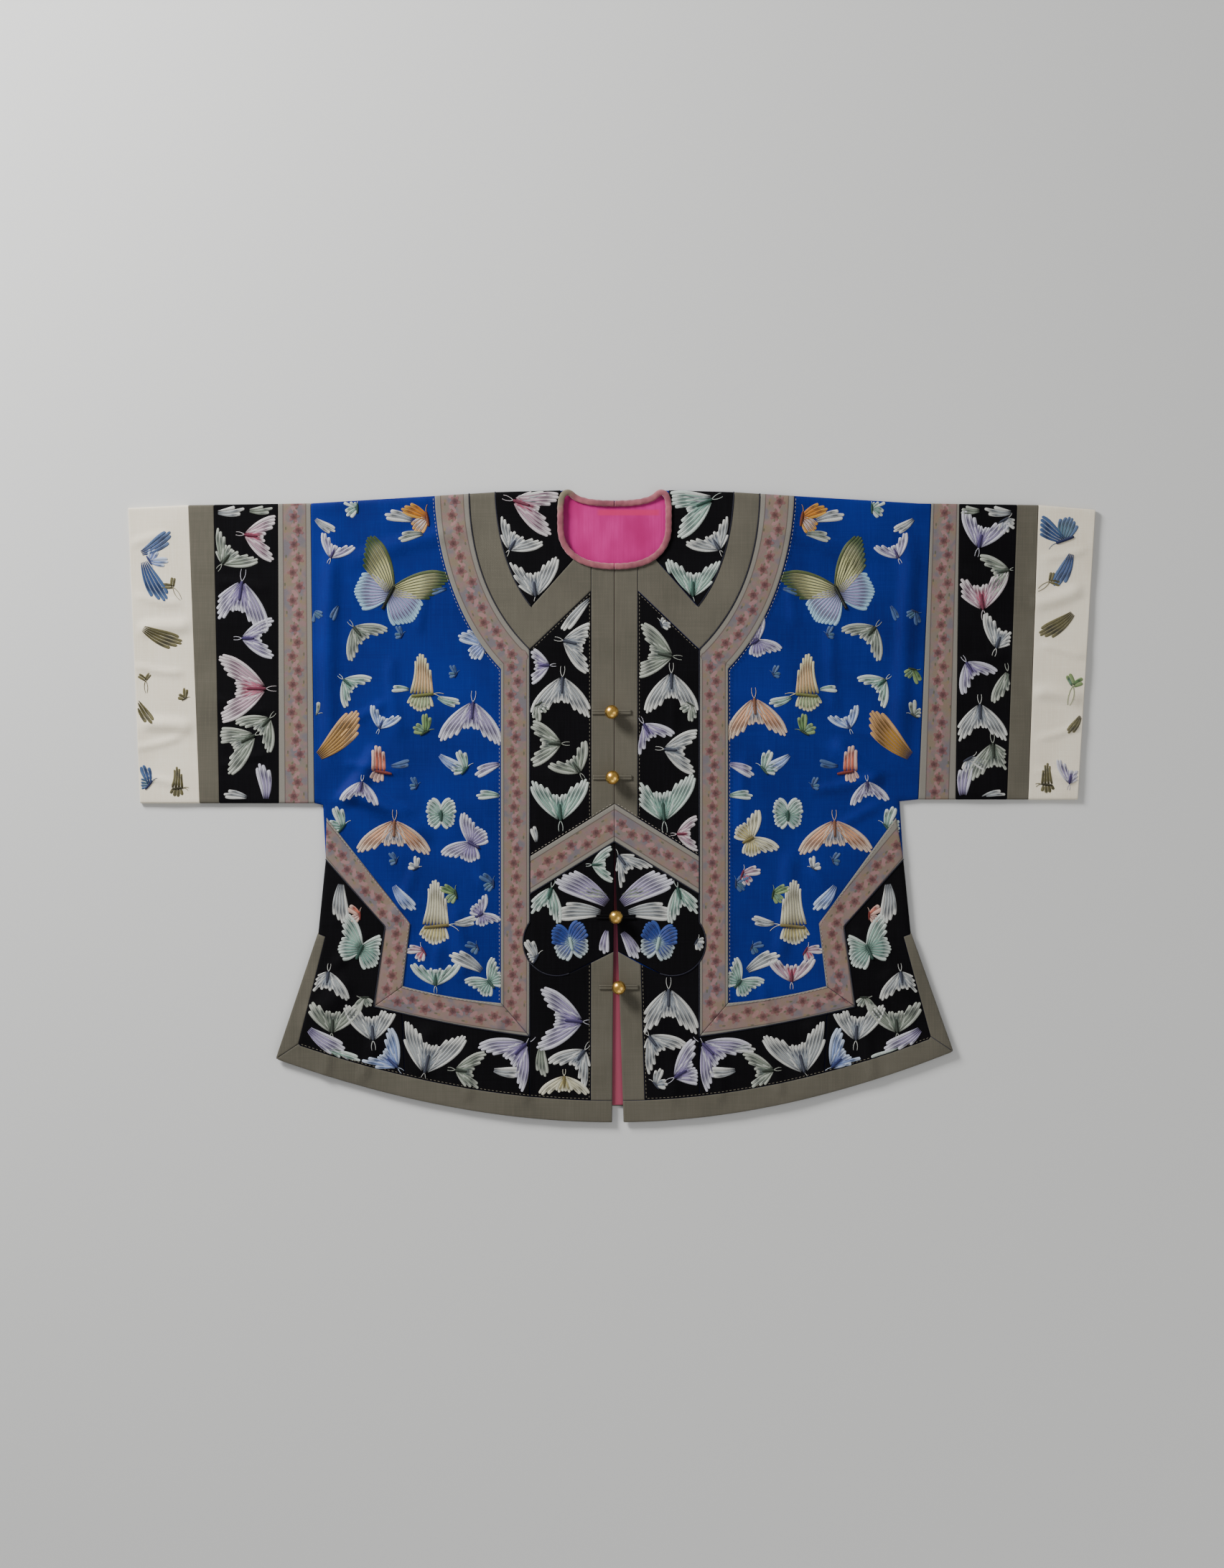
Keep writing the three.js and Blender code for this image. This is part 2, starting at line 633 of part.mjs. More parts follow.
function addBack() {
  const body = [
    ...backNeckline(0),
    ...backFlank(SIDES.right),
    ...backHem(BACK_BORDER).reverse().slice(2, -2),
    ...backFlank(SIDES.left).reverse(),
  ];
  addMesh("back_body", geometryFrom(prism(inset(body, SEAM_GAP / 2), BACK_LAYER)), "ground");
  addBackStrip("back_border", "black", HEM_BINDING, BACK_BORDER);
  addBackStrip("back_binding", "grey", 0, HEM_BINDING);
}

// Where a raised hem line ends on the slit's edge, on one side, in (u, v).
function slitEdge(side, raise) {
  const share = raise / (SLIT_TOP.v - side.corner);
  return point(HEM_CORNER - BACK_SHY + (SLIT_TOP.u - HEM_CORNER) * share, side.corner + raise);
}

function addBackStrip(name, colour, low, high) {
  const end = (side, raise) => onPlan(side, [slitEdge(side, raise)]);
  const outline = [
    ...end(SIDES.left, low),
    ...backHem(low).slice(2, -2),
    ...end(SIDES.right, low),
    ...end(SIDES.right, high),
    ...backHem(high).reverse().slice(2, -2),
    ...end(SIDES.left, high),
  ];
  addMesh(name, geometryFrom(prism(inset(outline, SEAM_GAP / 2), BACK_LAYER)), colour);
}

// The pink lining where it shows: in the neck opening, and between the two fronts.
function addLining() {
  const { neckHalf, neckTop, shelf, stripHalf, foot, lower } = LINING;
  const beside = (u, v) => point(OPENING_X + u, v);
  const outline = [
    ...backNeckline(lower),
    beside(neckHalf, neckTop),
    beside(neckHalf, shelf),
    beside(stripHalf, shelf),
    beside(stripHalf, foot),
    beside(-stripHalf, foot),
    beside(-stripHalf, shelf),
    beside(-neckHalf, shelf),
    beside(-neckHalf, neckTop),
  ];
  addMesh("lining_back", geometryFrom(prism(inset(outline, SEAM_GAP / 2), LINING_LAYER)), "lining");
}

// One half of the rolled neck binding, from the centre front over the shoulder to the centre back.
function addNeckBinding(sideName, side) {
  const { halfWidth, halfHeight } = NECK_ROLL;
  const onYoke = STRIP_LAYER[1] + SEAM_GAP + halfHeight;
  const onBack = LINING_LAYER[1] + SEAM_GAP + halfHeight;
  const top = TOP - SEAM_GAP - halfWidth;
  const front = neckline(SEAM_GAP, NECK.halfWidth).map((p) => new THREE.Vector3(p.x, p.y, onYoke));
  const shoulder = [
    new THREE.Vector3(NECK.halfWidth, top - 14, onYoke),
    new THREE.Vector3(NECK.halfWidth - 2, top - 4, onYoke - 0.3),
    new THREE.Vector3(BACK_NECK.halfWidth - 2, top, onYoke - 0.9),
  ];
  const back = [40, 28, 14, SEAM_GAP].map((u) => new THREE.Vector3(u, backNeck(u, halfWidth), onBack));
  const path = new THREE.CatmullRomCurve3([...front, ...shoulder, ...back], false, "centripetal");
  const rings = path.getSpacedPoints(NECK_ROLL.sections).map((p, i) => {
    const tangent = path.getTangentAt(i / NECK_ROLL.sections);
    const across = new THREE.Vector3(-tangent.y, tangent.x, 0).normalize();
    return Array.from({ length: NECK_ROLL.sides }, (_, k) => {
      const angle = (2 * Math.PI * k) / NECK_ROLL.sides;
      const q = p.clone().addScaledVector(across, halfWidth * Math.cos(angle));
      return new THREE.Vector3(OPENING_X + side.sign * q.x, q.y, q.z + halfHeight * Math.sin(angle));
    });
  });
  addMesh(`neck_binding_${sideName}`, loftGeometry(rings, side.sign), "binding");
}

// A closed solid through rings of points, with a flat fan at each end.
function loftGeometry(rings, sign) {
  const around = rings[0].length;
  const positions = rings.flat().flatMap((p) => [p.x, p.y, p.z]);
  const index = [];
  const face = (a, b, c) => (sign < 0 ? index.push(a, b, c) : index.push(a, c, b));
  for (let s = 0; s + 1 < rings.length; s++)
    for (let k = 0; k < around; k++) {
      const a = s * around + k;
      const b = s * around + ((k + 1) % around);
      face(a, b + around, b);
      face(a, a + around, b + around);
    }
  const last = (rings.length - 1) * around;
  for (let k = 1; k + 1 < around; k++) {
    face(0, k, k + 1);
    face(last, last + k + 1, last + k);
  }
  const geometry = new THREE.BufferGeometry();
  geometry.setAttribute("position", new THREE.Float32BufferAttribute(positions, 3));
  geometry.setIndex(index);
  geometry.computeVertexNormals();
  return geometry;
}

// The cord that carries a button: a flat strip with a round end under the ball.
function cordShape() {
  const shape = new THREE.Shape();
  shape.moveTo(-CORD.length, -CORD.halfWidth);
  shape.absarc(0, 0, CORD.halfWidth, -Math.PI / 2, Math.PI / 2);
  shape.lineTo(-CORD.length, CORD.halfWidth);
  return shape;
}

// The loop that goes over a button: two cords side by side that part into an eye.
function loopShape() {
  const shape = new THREE.Shape();
  const neckAngle = Math.asin(CORD.halfWidth / CORD.eyeOuter);
  shape.moveTo(CORD.length, CORD.halfWidth);
  shape.absarc(0, 0, CORD.eyeOuter, neckAngle, 2 * Math.PI - neckAngle);
  shape.lineTo(CORD.length, -CORD.halfWidth);
  const eye = new THREE.Path();
  eye.absarc(0, 0, CORD.eye, 0, 2 * Math.PI, true);
  shape.holes.push(eye);
  return shape;
}

// A ball and its shank, turned about the height axis, with the shank's foot at the origin.
function buttonGeometry() {
  const { radius, shank, shankLength, steps } = BUTTON;
  const start = Math.asin(shank / radius);
  const arc = Array.from({ length: steps }, (_, i) => {
    const angle = start + ((Math.PI - start) * i) / steps;
    return new THREE.Vector2(radius * Math.sin(angle), shankLength + radius * (1 - Math.cos(angle)));
  });
  const foot = [new THREE.Vector2(0, 0), new THREE.Vector2(shank, 0)];
  const crown = new THREE.Vector2(0, shankLength + 2 * radius);
  return new THREE.LatheGeometry([...foot, ...arc, crown], BUTTON.sides).rotateX(Math.PI / 2);
}

// A fastened closure: the cord on the left front, the loop from the right front over it, and the ball.
function addClosure(number, { x, y, colour }) {
  const cordHeight = STRIP_LAYER[1] + SEAM_GAP;
  const footHeight = cordHeight + CORD.thickness + SEAM_GAP;
  const extrude = { depth: CORD.thickness, bevelEnabled: false, curveSegments: 8 };
  const cord = addMesh(`button_cord_${number}`, new THREE.ExtrudeGeometry(cordShape(), extrude), colour);
  cord.position.set(x, y, cordHeight);
  const loop = addMesh(`button_loop_${number}`, new THREE.ExtrudeGeometry(loopShape(), extrude), colour);
  loop.rotation.y = Math.atan((footHeight - cordHeight) / (CORD.length - CORD.halfWidth));
  loop.position.set(x, y, footHeight + SEAM_GAP);
  addMesh(`button_${number}`, buttonGeometry(), "brass").position.set(x, y, footHeight);
}

addBack();
addLining();
for (const [sideName, side] of Object.entries(SIDES)) {
  addGround(sideName, side);
  for (const [name, strip] of Object.entries(stripOutlines(side))) {
    const layer = strip.colour === "ribbon" ? RIBBON_LAYER : STRIP_LAYER;
    addStrip(`${name}_${sideName}`, strip.colour, onPlan(side, strip.outline), layer);
  }
  const { ribbon, black, grey, cuff, mouth } = side.seams;
  addSleeveBand(sideName, side, "ribbon", "ribbon", ribbon, black);
  addSleeveBand(sideName, side, "black", "black", black, grey);
  addSleeveBand(sideName, side, "grey", "grey", grey, cuff);
  addSleeveBand(sideName, side, "cuff", "cream", cuff, mouth);
  addNeckBinding(sideName, side);
}
CLOSURES.forEach((closure, i) => addClosure(i + 1, closure));

export default jacket;
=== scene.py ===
"""A wide-sleeved Manchu jacket laid flat with its front up: its cloth, trims, embroidery, buttons and studio.

Pattern sizes are in millimetres, as a cutter marks them, and meshes are in metres. u is the distance out from
the front opening, v the height from the middle of the jacket's length.
"""

import logging
import math
from dataclasses import dataclass, field
from enum import Enum
from functools import cache
from typing import Iterable, Sequence

import bpy
import numpy as np
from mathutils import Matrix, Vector
from mathutils.geometry import delaunay_2d_cdt


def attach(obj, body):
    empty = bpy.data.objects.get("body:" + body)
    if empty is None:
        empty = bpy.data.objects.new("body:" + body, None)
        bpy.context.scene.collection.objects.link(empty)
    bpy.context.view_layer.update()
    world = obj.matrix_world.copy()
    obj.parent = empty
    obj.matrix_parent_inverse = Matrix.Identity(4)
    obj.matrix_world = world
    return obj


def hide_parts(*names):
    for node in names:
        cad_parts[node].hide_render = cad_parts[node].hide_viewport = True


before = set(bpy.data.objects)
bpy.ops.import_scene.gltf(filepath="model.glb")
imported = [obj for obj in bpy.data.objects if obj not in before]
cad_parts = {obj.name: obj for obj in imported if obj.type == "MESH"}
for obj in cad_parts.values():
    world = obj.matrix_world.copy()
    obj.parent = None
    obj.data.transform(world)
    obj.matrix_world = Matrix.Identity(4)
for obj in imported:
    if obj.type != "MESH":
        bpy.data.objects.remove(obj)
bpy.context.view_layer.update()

log = logging.getLogger("jacket")
MM = 0.001
Point = tuple[float, float]
Colour = tuple[float, float, float, float]
Array = np.ndarray
Socket = bpy.types.NodeSocket
Piece = bpy.types.Object
Material = bpy.types.Material

LENGTH = 680.0
TOP = LENGTH / 2
HEM = -LENGTH / 2
OPENING_X = 3.0
SEAM_GAP = 0.3
CURVE_STEPS = 26
SHARPEST_MITRE = 0.35

BACK_LAYER = (0.0, 1.2)
LINING_LAYER = (1.5, 2.5)
GROUND_LAYER = (2.8, 4.2)
STRIP_LAYER = (4.5, 5.5)
RIBBON_LAYER = (4.5, 5.8)
SLEEVE_WALL = 1.2
TURN_DOWN = 1.4
TURN_WIDTH = 6.0

PLACKET = 25.0
BORDER = 91.0
RIBBON = 31.0
RIBBON_OUT = BORDER + RIBBON
HEM_BINDING = 23.0
BACK_BORDER = 91.0
BACK_HEM_RISE = 17.0
BACK_SHY = 2.0

NECK_HALF, NECK_DROP, NECK_LEVEL, NECK_POWER = 58.0, 44.0, 300.0, 2.4
NECK_SHOULDER = 338.0
BACK_NECK_DIP, BACK_NECK_RISE, BACK_NECK_HALF = 327.0, 11.0, 52.0
LINING_NECK_HALF, LINING_NECK_TOP, LINING_SHELF, LINING_STRIP = 70.0, 322.0, 236.0, 22.0
LINING_LOWER = 1.5

OPENING_PARTS_AT = -39.0
HEM_CORNER = 363.0
SHOULDER = np.array([(50.0, 338.0), (128.0, 336.0), (193.0, 332.0), (326.0, 324.0), (457.0, 322.0)])
YOKE_TIP: Point = (89.3, 213.0)
YOKE_NECK_U = 42.0
ARM_TIP: Point = (BORDER, 167.0)
ARM_PLACKET = 230.0
RIBBON_KNEE: Point = (RIBBON_OUT, 146.0)
CHEVRON_TOP, CHEVRON_BOTTOM, CHEVRON_SLOPE = 1.5, -39.0, -0.62
CLOUD_BOTTOM, LOBE_U, LOBE_V, LOBE_R, LOBE_END = -157.0, 62.0, -147.0, 36.0, -0.62 * math.pi
RIBBON_CORNER: Point = (106.5, -230.0)
SLIT_CORNER: Point = (242.5, -205.0)
CORNER_INNER: Point = (RIBBON_OUT, -212.0)
CORNER_OUTER: Point = (BORDER, -248.0)
SLIT_CORNER_INNER: Point = (227.0, -194.0)
SLIT_CORNER_OUTER: Point = (258.0, -216.0)
SLIT_KNEE_INNER: Point = (219.0, -127.0)
SLIT_KNEE_OUTER: Point = (246.0, -130.0)
SLIT_RIBBON_TOP_INNER, SLIT_RIBBON_TOP_OUTER = -13.0, -58.0
SLIT_TOP: Point = (318.0, -138.0)
SIDE_WAIST: Point = (310.0, -58.0)
SLIT_BINDING_TOP, SLIT_BINDING_U, SLIT_BINDING_RISE = 8.0, 339.0, 16.0
BORDER_SEAM = 228.0
HEM_RIBBON_SAG = 2.5


def srgb(red: float, green: float, blue: float) -> Colour:
    """Gives the linear colour of an sRGB one, each channel 0 to 255."""
    linear = [((c / 255 + 0.055) / 1.055) ** 2.4 if c > 10 else c / 255 / 12.92 for c in (red, green, blue)]
    return (linear[0], linear[1], linear[2], 1.0)


def rows(*pieces: Iterable) -> Array:
    """Joins points and lists of points into one array with two columns."""
    return np.vstack([np.atleast_2d(np.asarray(piece, dtype=float)) for piece in pieces])


def smooth(t: Array) -> Array:
    """Eases from 0 to 1 with level ends."""
    s = np.clip(t, 0.0, 1.0)
    return s * s * (3 - 2 * s)


def bezier(p0: Point, p1: Point, p2: Point, p3: Point) -> Array:
    """Gives the points of a cubic curve.

    Args:
        p0: Where it starts.
        p1: Its first handle.
        p2: Its second handle.
        p3: Where it ends.

    Returns:
        One row for each point.
    """
    s = np.linspace(0, 1, CURVE_STEPS + 1)[:, None]
    a, b, c, d = (np.asarray(p, dtype=float) for p in (p0, p1, p2, p3))
    return (1 - s) ** 3 * a + 3 * (1 - s) ** 2 * s * b + 3 * (1 - s) * s**2 * c + s**3 * d


def resample(line: Array, step: float) -> Array:
    """Divides each chord of a closed line into equal parts no longer than a step, keeping its corners.

    Args:
        line: The points, of which the last joins the first.
        step: The longest part.

    Returns:
        The points, the first one not repeated at the end.
    """
    made = []
    for a, b in zip(line, np.roll(line, -1, axis=0)):
        parts = max(1, math.ceil(float(np.linalg.norm(b - a)) / step))
        made += [a + (b - a) * i / parts for i in range(parts)]
    return np.array(made)


def reached(line: Array) -> Array:
    """Gives how far along an open line each of its points is."""
    return np.r_[0, np.cumsum(np.linalg.norm(np.diff(line, axis=0), axis=1))]


def at_height(across: Array, height: float) -> Array:
    """Gives points in a row at one height."""
    return np.column_stack([across, np.full(len(across), height)])


def unit(vectors: Array) -> Array:
    """Scales each row to length one."""
    return vectors / np.maximum(np.linalg.norm(vectors, axis=1), 1e-9)[:, None]


def upright(vectors: Array) -> Array:
    """Turns rows on the plan a quarter round, anticlockwise."""
    return np.column_stack([-vectors[:, 1], vectors[:, 0]])


def round_angles(count: int) -> Array:
    """Gives the angles of points spaced evenly round a circle."""
    return np.arange(count) * 2 * math.pi / count


def even(line: Array, step: float) -> Array:
    """Gives points evenly spaced along an open line, about a step apart."""
    lengths = reached(line)
    places = np.linspace(0, lengths[-1], max(2, round(lengths[-1] / step) + 1))
    return np.column_stack([np.interp(places, lengths, line[:, k]) for k in range(line.shape[1])])


def area_of(loop: Array) -> float:
    """Gives a loop's area, positive when it runs anticlockwise."""
    x, y = loop.T
    return float(np.sum(x * np.roll(y, -1) - np.roll(x, -1) * y) / 2)


def run_length(line: Array) -> float:
    """Gives the length of an open line."""
    return float(np.linalg.norm(np.diff(line, axis=0), axis=1).sum())


def inset(loop: Array, distance: float) -> Array:
    """Moves a loop in by a distance, with mitred corners.

    Args:
        loop: The outline.
        distance: How far in.

    Returns:
        The moved outline, anticlockwise, without doubled points.
    """
    keep = np.linalg.norm(loop - np.roll(loop, -1, axis=0), axis=1) > 0.05
    points = loop[keep]
    if area_of(points) < 0:
        points = points[::-1]
    before = unit(points - np.roll(points, 1, axis=0))
    after = unit(np.roll(points, -1, axis=0) - points)
    normal = unit(upright(before + after))
    spread = np.maximum(np.sum(normal * upright(before), axis=1), SHARPEST_MITRE)
    return points + normal * (distance / spread)[:, None]


def open_distance(points: Array, line: Array) -> Array:
    """Gives each point's distance to an open line.

    Args:
        points: Places on the plan.
        line: The line's points.

    Returns:
        One distance for each place.
    """
    nearest = np.full(len(points), np.inf)
    for a, b in zip(line[:-1], line[1:]):
        chord = b - a
        share = np.clip((points - a) @ chord / max(float(chord @ chord), 1e-9), 0, 1)
        gap = points - a - share[:, None] * chord
        nearest = np.minimum(nearest, np.hypot(gap[:, 0], gap[:, 1]))
    return nearest


def edge_distance(points: Array, loop: Array) -> Array:
    """Gives each point's distance to the nearest edge of a loop."""
    return open_distance(points, rows(loop, loop[0]))


def inside(points: Array, loop: Array) -> Array:
    """Tells which points lie inside a loop.

    Args:
        points: Places on the plan.
        loop: The outline.

    Returns:
        True for each place inside it.
    """
    x, y = points.T
    odd = np.zeros(len(points), dtype=bool)
    for (x1, y1), (x2, y2) in zip(loop, np.roll(loop, -1, axis=0)):
        crosses = (y1 > y) != (y2 > y)
        rise = (y2 - y1) or 1.0
        odd ^= crosses & (x < x1 + (y - y1) * (x2 - x1) / rise)
    return odd


def run_coordinates(points: Array, line: Array) -> tuple[Array, Array]:
    """Measures points along and across a strip's middle line.

    Args:
        points: Places on the plan.
        line: The strip's middle line on the plan.

    Returns:
        How far along the line each place is, and how far to its left.
    """
    best = np.full(len(points), np.inf)
    along = np.zeros(len(points))
    across = np.zeros(len(points))
    start = 0.0
    for k, (a, b) in enumerate(zip(line[:-1], line[1:])):
        length = float(np.linalg.norm(b - a))
        unit = (b - a) / length
        place = (points - a) @ unit
        low = -1e9 if k == 0 else 0.0
        high = 1e9 if k == len(line) - 2 else length
        held = np.clip(place, low, high)
        side = (points - a) @ np.array([-unit[1], unit[0]])
        distance = np.hypot(place - held, side)
        nearer = distance < best
        best = np.where(nearer, distance, best)
        along = np.where(nearer, start + held, along)
        across = np.where(nearer, side, across)
        start += length
    return along, across


def neck_drop(u: Array) -> Array:
    """Gives the front neckline's height at a distance from the opening."""
    share = np.minimum(np.abs(u) / NECK_HALF, 1) ** NECK_POWER
    return NECK_LEVEL - NECK_DROP * (1 - share) ** (1 / NECK_POWER)


def neckline(start: float, end: float) -> Array:
    """Gives the front neckline between two distances from the opening."""
    share = np.linspace(0, 1, CURVE_STEPS + 1)
    eased = np.sin(share * math.pi / 2) if end > NECK_HALF - 1 else share
    u = start + (end - start) * eased
    return np.column_stack([u, neck_drop(u)])


def back_neck(u: Array, lower: float) -> Array:
    """Gives the back neckline's height, lowered by a distance."""
    return BACK_NECK_DIP - lower + BACK_NECK_RISE * np.abs(u / BACK_NECK_HALF) ** 3


def back_neckline(lower: float) -> Array:
    """Gives the back neckline on the plan, from left to right, lowered by a distance."""
    u = np.linspace(-BACK_NECK_HALF, BACK_NECK_HALF, 2 * CURVE_STEPS + 1)
    return np.column_stack([OPENING_X + u, back_neck(u, lower)])


def lobe(start: float, end: float) -> Array:
    """Gives an arc of the cloud's round lobe between two angles."""
    angle = np.linspace(start, end, CURVE_STEPS // 2 + 1)
    return np.column_stack([LOBE_U + LOBE_R * np.cos(angle), LOBE_V + LOBE_R * np.sin(angle)])


YOKE_CURVE = bezier((128, 336), (127, 300), (118, 248), YOKE_TIP)
RIBBON_INNER = bezier((156, 334.3), (155, 275), (140, 215), ARM_TIP)
RIBBON_OUTER = bezier((193, 332), (191, 270), (170, 196), RIBBON_KNEE)
RIBBON_MIDDLE = bezier((174.5, 333.2), (173, 272.5), (155, 205.5), (106.5, 156.5))
LOBE_CROSSING = math.acos((BORDER - LOBE_U) / LOBE_R)
LOBE_ON_RIBBON = lobe(LOBE_CROSSING, -LOBE_CROSSING)
LOBE_BELOW = lobe(-LOBE_CROSSING, LOBE_END)
CLOUD_FOOT = LOBE_BELOW[-1]


def cloud_base(u: float) -> float:
    """Gives the height of the cloud's lower edge by the opening."""
    return CLOUD_BOTTOM + (CLOUD_FOOT[1] - CLOUD_BOTTOM) * u / CLOUD_FOOT[0]


def chevron_line(level: float, u: float) -> Point:
    """Gives a point of the chevron's slanting edges."""
    return (u, level + CHEVRON_SLOPE * u)


def chevron_edge(level: float) -> Array:
    """Gives one of the chevron's slanting edges, from the opening out to the ribbon."""
    return rows(*(chevron_line(level, u) for u in (0, BORDER)))


def sagging(start: Point, end: Point) -> Array:
    """Gives the hem ribbon's edge between its two corners, with its slight sag."""
    share = np.linspace(0, 1, CURVE_STEPS // 2 + 1)[:, None]
    line = np.asarray(start) + (np.asarray(end) - np.asarray(start)) * share
    line[:, 1] -= (HEM_RIBBON_SAG * 4 * share * (1 - share))[:, 0]
    return line


SLIT_RIBBON_OUTER = rows(SLIT_CORNER_OUTER, SLIT_KNEE_OUTER, (SIDE_WAIST[0], SLIT_RIBBON_TOP_OUTER))
HEM_RIBBON_OUTER = sagging(CORNER_OUTER, SLIT_CORNER_OUTER)
HEM_RIBBON_INNER = sagging(CORNER_INNER, SLIT_CORNER_INNER)


class StripKind(Enum):
    """The cloth that a strip is cut from, named by its material slot."""

    BLACK = "black_satin"
    GREY = "grey_silk"
    RIBBON = "floral_ribbon"


@dataclass(frozen=True)
class StripCut:
    """One strip of a side, cut in (u, v).

    Attributes:
        kind: The cloth.
        outline: The strip's edge.
        middle: Its middle line, for a long narrow strip, else None.
    """

    kind: StripKind
    outline: Array
    middle: Array | None = None

    @classmethod
    def of(cls, kind: StripKind, *outline: Iterable, middle: Iterable | None = None) -> "StripCut":
        """Cuts a strip from the pieces of its outline and of its middle line."""
        return cls(kind, rows(*outline), None if middle is None else rows(*middle))


